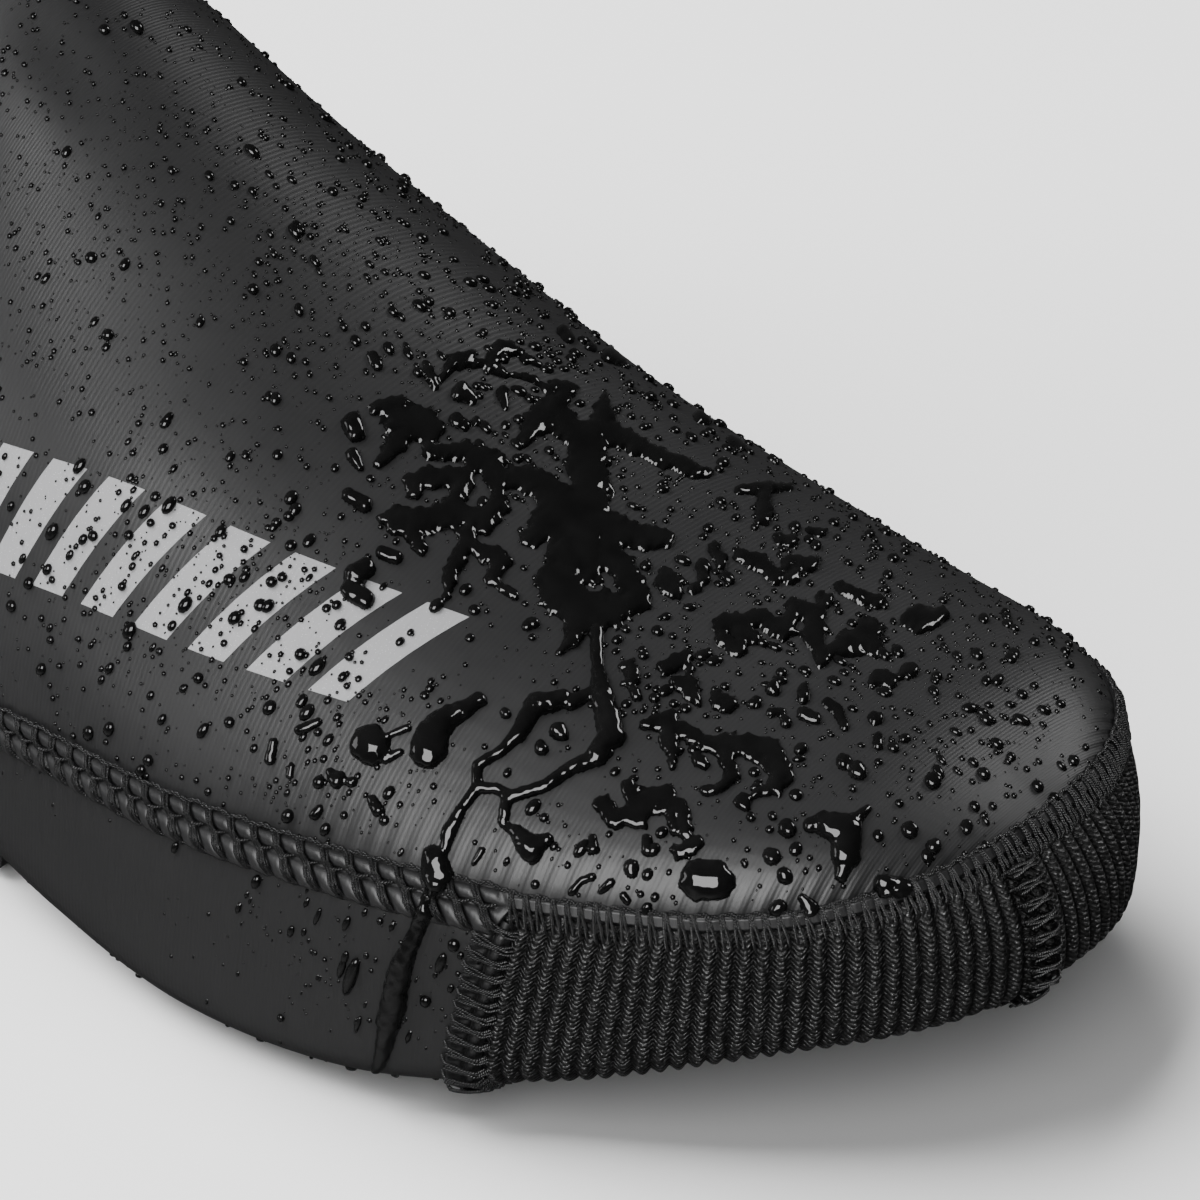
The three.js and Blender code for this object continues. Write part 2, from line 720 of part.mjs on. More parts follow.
// Raised seams, 0.3 mm clear of the shell
add(seamBand(sideSeamPath(120), true), "side_seam", thread);
add(seamBand(guardEndPath(false), false), "guard_seam_outer", thread);
add(seamBand(guardEndPath(true), false), "guard_seam_inner", thread);
add(seamBand(toeTipPath(), false), "toe_tip_seam", thread);

const heelLow = travelWhere(
  (t) => closedSection(t).keelX < -toeX + soleInset - seamEndSpace,
  knots[sideProfile.length - 5],
  seamHeelTravel,
);
add(seamBand(middlePath(0, heelLow, seamHeelTravel - seamClear, 8), false), "heel_seam", thread);
const hemTravel = travelWhere(
  (t) => pointAt(t, 0).z > collarHeight - hemHeight - seamEndSpace,
  seamHeelTravel,
  travelEnd,
);
add(seamBand(middlePath(0, seamHeelTravel + seamClear, hemTravel, 22), false), "back_seam", thread);

// The folded hem round the collar
const hemFloor = collarHeight - hemHeight;
const hem = lastSolid(gap + hemThickness, 0)
  .subtract(lastSolid(gap, 4 * wall))
  .intersect(everythingBetween(-far, far, hemFloor));
add(hem, "collar_hem", coated);

// The origin is under the middle of the whole shoe, on the floor
const box = new THREE.Box3().setFromObject(parts);
const middle = box.getCenter(new THREE.Vector3());
parts.position.set(-middle.x, -middle.y, -box.min.z);
const overshoe = new THREE.Group();
overshoe.add(parts);

export default overshoe;
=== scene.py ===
# Neoprene cycling overshoe, right foot: finish, seams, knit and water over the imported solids
import math
import bmesh
import bpy
import numpy as np
from mathutils import Matrix, Vector, geometry
from mathutils.bvhtree import BVHTree


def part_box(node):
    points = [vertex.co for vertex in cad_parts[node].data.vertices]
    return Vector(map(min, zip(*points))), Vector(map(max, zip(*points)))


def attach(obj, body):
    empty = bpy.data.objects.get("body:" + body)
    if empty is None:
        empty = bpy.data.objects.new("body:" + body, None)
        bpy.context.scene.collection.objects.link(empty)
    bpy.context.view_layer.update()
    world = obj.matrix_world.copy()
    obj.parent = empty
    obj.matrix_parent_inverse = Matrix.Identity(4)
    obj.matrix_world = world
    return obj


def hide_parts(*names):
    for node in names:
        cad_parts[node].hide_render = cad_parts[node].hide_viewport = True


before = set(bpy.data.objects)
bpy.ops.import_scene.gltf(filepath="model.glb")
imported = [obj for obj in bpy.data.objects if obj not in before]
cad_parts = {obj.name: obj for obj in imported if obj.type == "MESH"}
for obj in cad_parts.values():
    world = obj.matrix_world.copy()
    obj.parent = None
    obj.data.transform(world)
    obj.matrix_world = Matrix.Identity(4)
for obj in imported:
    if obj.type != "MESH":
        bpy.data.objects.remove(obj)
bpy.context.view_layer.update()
print("frame loaded:", len(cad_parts), "nodes")

# Shell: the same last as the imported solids, in metres
shell = {
    "length": 0.290,
    "ballWidth": 0.109,
    "instepHeight": 0.108,
    "collarHeight": 0.219,
    "collarDepth": 0.082,
    "collarWidth": 0.076,
    "wall": 0.003,
    "toeCentreHeight": 0.024,
    "toeReachOuter": 0.058,
    "toeReachInner": 0.038,
    "toeReachTop": 0.027,
    "toeReachUnder": 0.014,
    "toePlanPower": 2.1,
    "toeSidePower": 2.25,
    "shaftSquareness": 2.1,
    "soleInset": 0.008,
    "soleToeInset": 0.022,
    "soleProud": 0.0012,
    "soleThickness": 0.003,
    "guardLength": 0.0505,
    "guardLean": 0.155,
    "heelRound": 0.0348,
}

# ridgeAlong, rise, keelAlong, drop, outer, inner, swing, belt, crown, base: shares, toe to heel
footSections = [
    (0.000, 0.417, 0.000, 0.185, 0.384, 0.300, 0.083, 0.40, 2.50, 5.0),
    (0.069, 0.459, 0.069, 0.145, 0.423, 0.359, 0.069, 0.40, 2.50, 6.0),
    (0.155, 0.505, 0.155, 0.074, 0.467, 0.410, 0.046, 0.38, 2.40, 7.5),
    (0.241, 0.570, 0.241, 0.017, 0.515, 0.451, 0.023, 0.35, 2.30, 8.0),
    (0.328, 0.660, 0.328, 0.007, 0.528, 0.469, 0.005, 0.32, 2.15, 8.0),
    (0.414, 0.787, 0.414, 0.022, 0.504, 0.458, 0.000, 0.30, 2.05, 7.5),
    (0.483, 0.905, 0.493, 0.054, 0.471, 0.425, 0.000, 0.28, 1.95, 6.5),
    (0.534, 0.998, 0.576, 0.089, 0.430, 0.395, 0.005, 0.27, 1.90, 6.0),
    (0.569, 1.060, 0.672, 0.078, 0.395, 0.365, 0.009, 0.26, 1.90, 6.0),
    (0.597, 1.120, 0.776, 0.030, 0.367, 0.353, 0.009, 0.25, 1.95, 6.5),
    (0.617, 1.185, 0.872, 0.008, 0.353, 0.349, 0.005, 0.26, 2.00, 5.5),
    (0.634, 1.259, 0.947, 0.035, 0.349, 0.349, 0.000, 0.29, 2.05, 4.0),
    (0.645, 1.333, 0.988, 0.140, 0.349, 0.349, 0.000, 0.33, 2.10, 3.0),
    (0.655, 1.407, 1.000, 0.320, 0.349, 0.349, 0.000, 0.38, 2.10, 2.5),
]

# climb, back, depth, width, tilt, belt: shares, ankle to collar
shaftSections = [
    (-0.45, 0.993, 1.165, 1.000, 1.20, 0.42),
    (-0.19, 0.970, 1.060, 0.985, 1.02, 0.46),
    (0.10, 0.952, 0.990, 0.960, 0.78, 0.50),
    (0.40, 0.948, 0.965, 0.945, 0.52, 0.50),
    (0.70, 0.955, 0.980, 0.960, 0.26, 0.50),
    (1.00, 0.966, 1.000, 1.000, 0.00, 0.50),
]

# along, height: where the side seam runs, as shares of length and instep height
seamLine = [
    (-0.030, 0.385), (0.000, 0.381), (0.069, 0.343), (0.155, 0.333), (0.241, 0.329),
    (0.328, 0.323), (0.414, 0.313), (0.500, 0.285), (0.586, 0.268), (0.672, 0.262),
    (0.793, 0.275), (0.897, 0.298), (1.030, 0.320),
]

toeX = shell["length"] / 2
shellShift = np.array([0.0, 0.5 * (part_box("back_seam")[0][1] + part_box("back_seam")[1][1]), 0.0])


def curveThrough(rows, knots):
    rows = np.asarray(rows, float)
    knots = np.asarray(knots, float)
    steps = np.diff(knots)[:, None]
    slopes = np.diff(rows, axis=0) / steps
    tangents = np.empty_like(rows)
    tangents[0] = slopes[0]
    tangents[-1] = slopes[-1]
    tangents[1:-1] = (slopes[:-1] * steps[1:] + slopes[1:] * steps[:-1]) / (steps[:-1] + steps[1:])

    def at(where):
        where = np.asarray(where, float)
        i = np.clip(np.searchsorted(knots, where, side="right") - 1, 0, len(knots) - 2)
        span = (knots[i + 1] - knots[i])[..., None]
        t = (where - knots[i])[..., None] / span
        start = (2 * t**3 - 3 * t**2 + 1) * rows[i] + (t**3 - 2 * t**2 + t) * span * tangents[i]
        return start + (3 * t**2 - 2 * t**3) * rows[i + 1] + (t**3 - t**2) * span * tangents[i + 1]

    return at


def sectionTable():
    table = []
    for ridgeAlong, rise, keelAlong, drop, outer, inner, swing, belt, crown, base in footSections:
        table.append((
            toeX - ridgeAlong * shell["length"], rise * shell["instepHeight"],
            toeX - keelAlong * shell["length"], drop * shell["instepHeight"],
            outer * shell["ballWidth"], inner * shell["ballWidth"], swing * shell["ballWidth"],
            belt, crown, base,
        ))
    for climb, back, depth, width, tilt, belt in shaftSections:
        keelX = toeX - back * shell["length"]
        keelZ = shell["instepHeight"] + climb * (shell["collarHeight"] - shell["instepHeight"])
        table.append((
            keelX + depth * shell["collarDepth"], keelZ + tilt * shell["collarDepth"], keelX, keelZ,
            width * shell["collarWidth"] / 2, width * shell["collarWidth"] / 2, 0.0,
            belt, shell["shaftSquareness"], shell["shaftSquareness"],
        ))
    return np.array(table)


sectionRows = sectionTable()
ridgeSteps = np.hypot(*np.diff(sectionRows[:, 0:2], axis=0).T)
keelSteps = np.hypot(*np.diff(sectionRows[:, 2:4], axis=0).T)
sectionKnots = np.concatenate([[0], np.cumsum((ridgeSteps + keelSteps) / 2)])
travelEnd = sectionKnots[-1]
heelBackTravel = sectionKnots[len(footSections) - 1]
sectionAt = curveThrough(sectionRows, sectionKnots)
seamCurve = curveThrough(
    [[height * shell["instepHeight"]] for along, height in seamLine],
    [along * shell["length"] for along, height in seamLine],
)


def seamHeight(x):
    return seamCurve(toeX - np.asarray(x))[..., 0]


def roundEnd(distance, reach, power):
    left = np.clip(1 - np.maximum(distance, 0) / reach, 0, 1)
    return (1 - left**power) ** (1 / power)


def closedSection(travel):
    s = sectionAt(travel)
    ridgeX, ridgeZ, keelX, keelZ, outer, inner, swing, belt, crown, base = np.moveaxis(s, -1, 0)
    distance = toeX - ridgeX
    centre = shell["toeCentreHeight"]
    ridgeZ = centre + (ridgeZ - centre) * roundEnd(distance, shell["toeReachTop"], shell["toeSidePower"])
    keelZ = centre + (keelZ - centre) * roundEnd(distance, shell["toeReachUnder"], shell["toeSidePower"])
    outer = outer * roundEnd(distance, shell["toeReachOuter"], shell["toePlanPower"])
    inner = inner * roundEnd(distance, shell["toeReachInner"], shell["toePlanPower"])
    return ridgeX, ridgeZ, keelX, keelZ, outer, inner, swing, belt, crown, base


# Angle 0 is the keel, a quarter turn the outer side, half a turn the ridge
def shellPoint(travel, angle):
    travel, angle = np.broadcast_arrays(np.asarray(travel, float), np.asarray(angle, float))
    ridgeX, ridgeZ, keelX, keelZ, outer, inner, swing, belt, crown, base = closedSection(travel)
    up = -np.cos(angle)
    across = np.sin(angle)
    power = 2 / np.where(up > 0, crown, base)
    reach = np.abs(up) ** power
    share = np.where(up > 0, belt + (1 - belt) * reach, belt * (1 - reach))
    half = np.where(across > 0, -outer, inner)
    x = keelX + (ridgeX - keelX) * share
    y = swing + half * np.abs(across) ** power
    z = keelZ + (ridgeZ - keelZ) * share
    return np.stack([x, y, z], axis=-1) + shellShift


def sectionAngles(perQuarter):
    t = np.linspace(0, 1, perQuarter, endpoint=False)
    quarter = t**3 / (t**3 + (1 - t) ** 3) * (math.pi / 2)  # crowded at the keel, the belts and the ridge
    angles = np.concatenate([quarter + k * math.pi / 2 for k in range(4)])
    return np.append(angles, 2 * math.pi)


def arcLengths(points):
    steps = np.linalg.norm(np.diff(points, axis=-2), axis=-1)
    return np.concatenate([np.zeros(steps.shape[:-1] + (1,)), np.cumsum(steps, axis=-1)], axis=-1)


def alongLine(line, arcs, wanted):
    return np.stack([np.interp(wanted, arcs, line[:, k]) for k in range(3)], axis=-1)


def unit(vectors):
    return vectors / np.linalg.norm(vectors, axis=-1, keepdims=True)


def smoothStep(value, low, high):
    t = np.clip((value - low) / (high - low), 0, 1)
    return t * t * (3 - 2 * t)


def bell(value, centre, width):
    return np.exp(-(((value - centre) / width) ** 2))


# Where a value that changes along a line first crosses zero, as an arc length
def crossing(values, arcs, fallback):
    change = np.nonzero(np.sign(values[:-1]) != np.sign(values[1:]))[0]
    if len(change) == 0:
        return fallback
    i = change[0]
    t = values[i] / (values[i] - values[i + 1])
    return arcs[i] + (arcs[i + 1] - arcs[i]) * t


def meshObject(name, points, faces, material):
    mesh = bpy.data.meshes.new(name)
    mesh.from_pydata([tuple(p) for p in points], [], [tuple(f) for f in faces])
    mesh.validate()
    mesh.materials.append(material)
    mesh.polygons.foreach_set("use_smooth", [True] * len(mesh.polygons))
    obj = bpy.data.objects.new(name, mesh)
    bpy.context.scene.collection.objects.link(obj)
    return obj


def gridFaces(rows, columns, closeRows=False, closeColumns=False):
    r = np.arange(rows if closeRows else rows - 1)
    c = np.arange(columns if closeColumns else columns - 1)
    i, j = np.meshgrid(r, c, indexing="ij")
    nextI = (i + 1) % rows
    nextJ = (j + 1) % columns
    quads = np.stack([i * columns + j, i * columns + nextJ, nextI * columns + nextJ, nextI * columns + j], -1)
    return quads.reshape(-1, 4)


def setUv(obj, along, across):
    perVertex = np.stack(np.broadcast_arrays(along[:, None], across), -1).reshape(-1, 2)
    layer = obj.data.uv_layers.new(name="surface")
    loops = np.empty(len(obj.data.loops), int)
    obj.data.loops.foreach_get("vertex_index", loops)
    layer.data.foreach_set("uv", np.asarray(perVertex, np.float32)[loops].ravel())


def gridObject(name, grid, material, along=None, across=None, closeRows=False, closeColumns=False):
    faces = gridFaces(*grid.shape[:2], closeRows, closeColumns)
    obj = meshObject(name, grid.reshape(-1, 3), faces, material)
    if along is not None:
        setUv(obj, along, across)
    return obj


def setAttribute(obj, name, values, kind="FLOAT"):
    attribute = obj.data.attributes.new(name, kind, "POINT")
    key = "value" if kind == "FLOAT" else "vector"
    attribute.data.foreach_set(key, np.asarray(values, np.float32).ravel())


def readAttribute(obj, name):
    values = np.empty(len(obj.data.vertices))
    obj.data.attributes[name].data.foreach_get("value", values)
    return values


def vertexArrays(obj):
    count = len(obj.data.vertices)
    points = np.empty(count * 3)
    normals = np.empty(count * 3)
    obj.data.vertices.foreach_get("co", points)
    obj.data.vertex_normals.foreach_get("vector", normals)
    return points.reshape(-1, 3), normals.reshape(-1, 3)


def moveVertices(obj, points):
    obj.data.vertices.foreach_set("co", np.asarray(points, np.float64).ravel())
    obj.data.update()


def gridNormals(grid):
    normal = np.cross(np.gradient(grid, axis=0), np.gradient(grid, axis=1))
    size = np.linalg.norm(normal, axis=-1, keepdims=True)
    return normal / np.maximum(size, 1e-12)


def smoothOver(obj, values, rounds):
    edges = np.array([e.vertices[:] for e in obj.data.edges])
    degree = np.bincount(edges.ravel(), minlength=len(values))[:, None]
    for step in range(rounds):
        total = np.zeros_like(values)
        np.add.at(total, edges[:, 0], values[edges[:, 1]])
        np.add.at(total, edges[:, 1], values[edges[:, 0]])
        values = (values + total / np.maximum(degree, 1)) / 2
    return values


def mergeDoubles(obj, distance=1e-5):
    bm = bmesh.new()
    bm.from_mesh(obj.data)
    bmesh.ops.remove_doubles(bm, verts=bm.verts, dist=distance)
    bm.to_mesh(obj.data)
    bm.free()


def evenFaces(obj):
    bm = bmesh.new()
    bm.from_mesh(obj.data)
    bmesh.ops.recalc_face_normals(bm, faces=bm.faces)
    bm.to_mesh(obj.data)
    bm.free()


def faceAlong(obj, outwards):
    evenFaces(obj)
    if np.sum(vertexArrays(obj)[1] * outwards) < 0:
        obj.data.flip_normals()


# Camera at the photograph's angle, close on the toe and instep
view = {
    "azimuth": 38.31,
    "elevation": 32.84,
    "roll": 1.34,
    "target": (0.07254, 0.0026, 0.0497),
    "distance": 0.700,
    "lens": 162.37,
    "sensor": 36.0,
    "photoSize": 1200,
}


def viewAxes():
    a = math.radians(view["azimuth"])
    e = math.radians(view["elevation"])
    r = math.radians(view["roll"])
    back = Vector((math.sin(a) * math.cos(e), -math.cos(a) * math.cos(e), math.sin(e)))
    right = Vector((math.cos(a), math.sin(a), 0))
    up = back.cross(right)
    return math.cos(r) * right + math.sin(r) * up, math.cos(r) * up - math.sin(r) * right, back


def addCamera():
    right, up, back = viewAxes()
    data = bpy.data.cameras.new("camera")
    data.lens = view["lens"]
    data.sensor_width = view["sensor"]
    data.clip_start = 0.01
    data.clip_end = 20
    camera = bpy.data.objects.new("camera", data)
    bpy.context.scene.collection.objects.link(camera)
    place = Matrix((right, up, back)).transposed().to_4x4()
    place.translation = Vector(view["target"]) + back * view["distance"]
    camera.matrix_world = place
    bpy.context.scene.camera = camera


addCamera()
viewRight, viewUp, viewBack = (np.array(v) for v in viewAxes())
viewPoint = np.array(view["target"]) + viewBack * view["distance"]
viewFocal = view["lens"] / view["sensor"] * view["photoSize"]


# Photograph pixels of points on the shoe
def photoPixels(points):
    q = np.asarray(points) - viewPoint
    depth = -(q @ viewBack)
    x = view["photoSize"] / 2 + viewFocal * (q @ viewRight) / depth
    y = view["photoSize"] / 2 - viewFocal * (q @ viewUp) / depth
    return np.stack([x, y], axis=-1)


def photoRay(px, py):
    half = view["photoSize"] / 2
    return (viewRight * (px - half) - viewUp * (py - half)) / viewFocal - viewBack


print("camera placed")


# Node helpers
def setSockets(tree, node, inputs):
    for name, value in inputs.items():
        if isinstance(value, bpy.types.NodeSocket):
            tree.links.new(value, node.inputs[name])
        else:
            node.inputs[name].default_value = value


def addNode(tree, kind, inputs=None, **settings):
    node = tree.nodes.new(kind)
    for name, value in settings.items():
        setattr(node, name, value)
    setSockets(tree, node, inputs or {})
    return node


def mathNode(tree, operation, *values):
    return addNode(tree, "ShaderNodeMath", dict(enumerate(values)), operation=operation).outputs[0]


def plus(tree, a, b):
    return mathNode(tree, "ADD", a, b)


def times(tree, a, b):
    return mathNode(tree, "MULTIPLY", a, b)


def over(tree, a, b):
    return mathNode(tree, "DIVIDE", a, b)


def sineOf(tree, turns):
    return mathNode(tree, "SINE", times(tree, turns, 2 * math.pi))


def ramp(tree, value, low, high, lowValue=0.0, highValue=1.0):
    limits = {"Value": value, "From Min": low, "From Max": high, "To Min": lowValue, "To Max": highValue}
    return addNode(tree, "ShaderNodeMapRange", limits, interpolation_type="SMOOTHSTEP").outputs["Result"]


def mixColor(tree, factor, a, b, blend="MIX"):
    inputs = {0: factor, 6: a, 7: b}
    return addNode(tree, "ShaderNodeMix", inputs, data_type="RGBA", blend_type=blend).outputs[2]


def addBump(tree, height, distance, normal=None, strength=1.0):
    inputs = {"Height": height, "Distance": distance, "Strength": strength}
    if normal is not None:
        inputs["Normal"] = normal
    return addNode(tree, "ShaderNodeBump", inputs).outputs["Normal"]


def newGroup(name, kind, inputs, outputs):
    group = bpy.data.node_groups.new(name, kind)
    for socketName, socketKind, value in inputs:
        socket = group.interface.new_socket(
            name=socketName, in_out="INPUT", socket_type="NodeSocket" + socketKind)
        if value is not None:
            socket.default_value = value
    for socketName, socketKind in outputs:
        group.interface.new_socket(name=socketName, in_out="OUTPUT", socket_type="NodeSocket" + socketKind)
    return group, group.nodes.new("NodeGroupInput").outputs, group.nodes.new("NodeGroupOutput")


# Fine pores and specks of rubber or cloth
def makeGrainGroup():
    group, given, result = newGroup(
        "fineGrain", "ShaderNodeTree",
        [("Vector", "Vector", None), ("Grain Size", "Float", 0.0004), ("Patch Size", "Float", 0.02)],
        [("Grain", "Float"), ("Patches", "Float"), ("Specks", "Float")])
    fineScale = over(group, 1.0, given["Grain Size"])
    patchScale = over(group, 1.0, given["Patch Size"])
    fine = addNode(group, "ShaderNodeTexNoise", {
        "Vector": given["Vector"], "Scale": fineScale, "Detail": 3.0, "Roughness": 0.6})
    patches = addNode(group, "ShaderNodeTexNoise", {
        "Vector": given["Vector"], "Scale": patchScale, "Detail": 4.0, "Roughness": 0.55})
    cells = addNode(group, "ShaderNodeTexVoronoi", {"Vector": given["Vector"], "Scale": fineScale})
    setSockets(group, result, {
        "Grain": fine.outputs["Fac"], "Patches": patches.outputs["Fac"],
        "Specks": ramp(group, cells.outputs["Distance"], 0.22, 0.05)})
    return group


# Thin raised wales that run round the foot, from the distance along the seam
def makeWaleGroup():
    group, given, result = newGroup(
        "fineWales", "ShaderNodeTree",
        [("Along", "Float", 0.0), ("Across", "Float", 0.0), ("Pitch", "Float", 0.00066),
         ("Wander", "Float", 0.0002)],
        [("Height", "Float")])
    place = addNode(group, "ShaderNodeCombineXYZ", {"X": given["Along"], "Y": given["Across"]})
    wander = addNode(group, "ShaderNodeTexNoise", {
        "Vector": place.outputs["Vector"], "Scale": 120.0, "Detail": 2.0})
    moved = plus(group, given["Along"], times(group, wander.outputs["Fac"], given["Wander"]))
    height = ramp(group, sineOf(group, over(group, moved, given["Pitch"])), -1.0, 1.0)
    setSockets(group, result, {"Height": height})
    return group


# Small puckers where a panel is drawn in by the stitches of its seam
def makePuckerGroup():
    group, given, result = newGroup(
        "stitchPuckers", "ShaderNodeTree",
        [("Along", "Float", 0.0), ("Seam Distance", "Float", 0.0), ("Pitch", "Float", 0.0026),
         ("Reach", "Float", 0.004)],
        [("Height", "Float")])
    turns = over(group, given["Along"], given["Pitch"])
    pucker = mathNode(group, "COSINE", times(group, turns, 2 * math.pi))
    near = over(group, given["Seam Distance"], given["Reach"])
    fade = mathNode(group, "POWER", math.e, times(group, near, -1.0))
    setSockets(group, result, {"Height": times(group, pucker, fade)})
    return group


grainGroup = makeGrainGroup()
waleGroup = makeWaleGroup()
puckerGroup = makePuckerGroup()


def newMaterial(name):
    material = bpy.data.materials.new(name)
    material.use_nodes = True
    return material, material.node_tree


def finishMaterial(material, inputs):
    setSockets(material.node_tree, material.node_tree.nodes["Principled BSDF"], inputs)
    return material


def objectPlace(tree):
    return addNode(tree, "ShaderNodeTexCoord").outputs["Object"]


def attributeOf(tree, name):
    return addNode(tree, "ShaderNodeAttribute", attribute_name=name).outputs["Fac"]


def surfaceUv(tree):
    uv = addNode(tree, "ShaderNodeUVMap", uv_map="surface").outputs["UV"]
    parts = addNode(tree, "ShaderNodeSeparateXYZ", {"Vector": uv})
    return parts.outputs["X"], parts.outputs["Y"]


def grainOn(tree, grainSize, patchSize):
    inputs = {"Vector": objectPlace(tree), "Grain Size": grainSize, "Patch Size": patchSize}
    return addNode(tree, "ShaderNodeGroup", inputs, node_tree=grainGroup).outputs


neopreneLook = {
    "color": (0.0125, 0.0125, 0.0129, 1),
    "wornColor": (0.0175, 0.0175, 0.018, 1),
    "roughness": (0.37, 0.45),
    "grainRoughness": 0.06,
    "specular": 0.32,
    "grainSize": 0.00035,
    "patchSize": 0.03,
    "grainHeight": 0.000012,
    "walePitch": 0.00066,
    "waleHeight": 0.000011,
    "waleShade": (0.94, 1.03),
    "puckerReach": 0.004,
    "puckerHeight": 0.00012,
}

smoothLook = {
    "color": (0.0130, 0.0130, 0.0134, 1),
    "dustColor": (0.05, 0.05, 0.052, 1),
    "dust": 0.12,
    "roughness": (0.41, 0.50),
    "specular": 0.32,
    "grainSize": 0.0003,
    "patchSize": 0.025,
    "grainHeight": 0.000014,
    "walePitch": 0.0007,
    "waleHeight": 0.000008,
    "puckerReach": 0.003,
    "puckerHeight": 0.00015,
}

# Generic slanted blocks where the outer side is printed: metres along the seam and above it
reflectiveLook = {
    "color": (0.25, 0.25, 0.255, 1),
    "speckColor": (0.44, 0.44, 0.445, 1),
    "start": 0.1105,
    "end": 0.190,
    "low": 0.0208,
    "high": 0.0374,
    "slant": 0.35,
    "pitch": 0.0085,
    "fill": 0.62,
    "thickness": 0.00008,
    "extraRoughness": 0.12,
}


# Grain, roughness and relief that both kinds of neoprene share
def neopreneSkin(tree, look):
    along, above = surfaceUv(tree)
    grain = grainOn(tree, look["grainSize"], look["patchSize"])
    wales = addNode(tree, "ShaderNodeGroup", {
        "Along": along, "Across": above, "Pitch": look["walePitch"]}, node_tree=waleGroup).outputs["Height"]
    puckers = addNode(tree, "ShaderNodeGroup", {
        "Along": along, "Seam Distance": attributeOf(tree, "seamDistance"), "Reach": look["puckerReach"],
        }, node_tree=puckerGroup).outputs["Height"]
    roughness = ramp(tree, grain["Patches"], 0.2, 0.8, *look["roughness"])
    normal = addBump(tree, puckers, look["puckerHeight"])
    normal = addBump(tree, wales, look["waleHeight"], normal)
    normal = addBump(tree, grain["Grain"], look["grainHeight"], normal)
    return along, above, grain, wales, roughness, normal


def blockMask(tree, along, above):
    look = reflectiveLook
    leaning = plus(tree, along, times(tree, above, look["slant"]))
    phase = mathNode(tree, "FRACT", over(tree, leaning, look["pitch"]))
    half = mathNode(tree, "ABSOLUTE", mathNode(tree, "SUBTRACT", phase, 0.5))
    mask = mathNode(tree, "LESS_THAN", half, look["fill"] / 2)
    for value, low, high in ((above, look["low"], look["high"]), (leaning, look["start"], look["end"])):
        mask = times(tree, mask, mathNode(tree, "GREATER_THAN", value, low))
        mask = times(tree, mask, mathNode(tree, "LESS_THAN", value, high))
    return mask


def makeCoatedNeoprene(withBlocks):
    material, tree = newMaterial("coatedNeoprene" if withBlocks else "coatedNeoprenePlain")
    look = neopreneLook
    along, above, grain, wales, roughness, normal = neopreneSkin(tree, look)
    color = mixColor(tree, grain["Patches"], look["color"], look["wornColor"])
    color = mixColor(tree, 1.0, color, ramp(tree, wales, 0.0, 1.0, *look["waleShade"]), "MULTIPLY")
    roughness = plus(tree, roughness, times(tree, grain["Grain"], look["grainRoughness"]))
    if withBlocks:
        blocks = reflectiveLook
        mask = blockMask(tree, along, above)
        silver = mixColor(tree, grain["Specks"], blocks["color"], blocks["speckColor"])
        color = mixColor(tree, mask, color, silver)
        roughness = plus(tree, roughness, times(tree, mask, blocks["extraRoughness"]))
        normal = addBump(tree, mask, blocks["thickness"], normal, 0.6)
    return finishMaterial(material, {
        "Base Color": color, "Roughness": roughness, "Normal": normal,
        "Specular IOR Level": look["specular"]})


def makeSmoothNeoprene():
    material, tree = newMaterial("smoothNeoprene")
    look = smoothLook
    along, above, grain, wales, roughness, normal = neopreneSkin(tree, look)
    dust = times(tree, grain["Specks"], look["dust"])
    return finishMaterial(material, {
        "Base Color": mixColor(tree, dust, look["color"], look["dustColor"]), "Roughness": roughness,
        "Normal": normal, "Specular IOR Level": look["specular"]})


# Knit colours: the yarn's own on the loops' tops, a painted shade down in the valleys between loops and ribs
knitLook = {
    "loopColor": (0.016, 0.016, 0.0165, 1),
    "valleyShadeColor": (0.0022, 0.0022, 0.0022, 1),
    "loopSize": 0.00050,
    "loopHeight": 0.00020,
    "chevronPitch": 0.00070,
    "chevronLean": 0.9,
    "chevronWander": 1.6,
    "fluffHeight": 0.00006,
    "roughness": 0.52,
    "sparkle": 0.25,
    "specular": (0.12, 1.0),
}


def makeRibbedKnit():
    material, tree = newMaterial("ribbedKnit")
    look = knitLook
    place = objectPlace(tree)
    ribHeight = attributeOf(tree, "ribHeight")
    grain = grainOn(tree, 0.00025, 0.006)
    loops = addNode(tree, "ShaderNodeTexVoronoi", {
        "Vector": place, "Scale": 1 / look["loopSize"], "Randomness": 0.85}, feature="SMOOTH_F1")
    tufts = ramp(tree, loops.outputs["Distance"], 0.65, 0.1)
    height = addNode(tree, "ShaderNodeSeparateXYZ", {"Vector": place}).outputs["Z"]
    rows = plus(tree, over(tree, height, look["chevronPitch"]), times(tree, ribHeight, look["chevronLean"]))
    rows = plus(tree, rows, times(tree, grain["Patches"], look["chevronWander"]))
    chevrons = ramp(tree, sineOf(tree, rows), -0.8, 0.7, 0.2, 1.0)
    loopHeight = times(tree, chevrons, ramp(tree, tufts, 0.0, 1.0, 0.25, 1.15))
    # Painted shade: the colour darkens from the loops' tops into the valleys, by loop and rib height
    shade = times(tree, loopHeight, ribHeight)
    sparkle = times(tree, ramp(tree, grain["Specks"], 0.4, 0.9), look["sparkle"])
    normal = addBump(tree, loopHeight, look["loopHeight"])
    least, most = look["specular"]
    return finishMaterial(material, {
        "Base Color": mixColor(tree, shade, look["valleyShadeColor"], look["loopColor"]),
        "Roughness": mathNode(tree, "SUBTRACT", look["roughness"], sparkle),
        "Specular IOR Level": plus(tree, times(tree, shade, most), least),
        "Normal": addBump(tree, grain["Grain"], look["fluffHeight"], normal)})


threadLook = {
    "color": (0.013, 0.013, 0.0135, 1),
    "shadeColor": (0.0025, 0.0025, 0.0025, 1),
    "plyLength": 0.0007,
    "plyHeight": 0.00012,
    "roughness": 0.36,
    "radius": 0.00025,
    "pairSpread": 0.00034,
    "steps": 9,
}


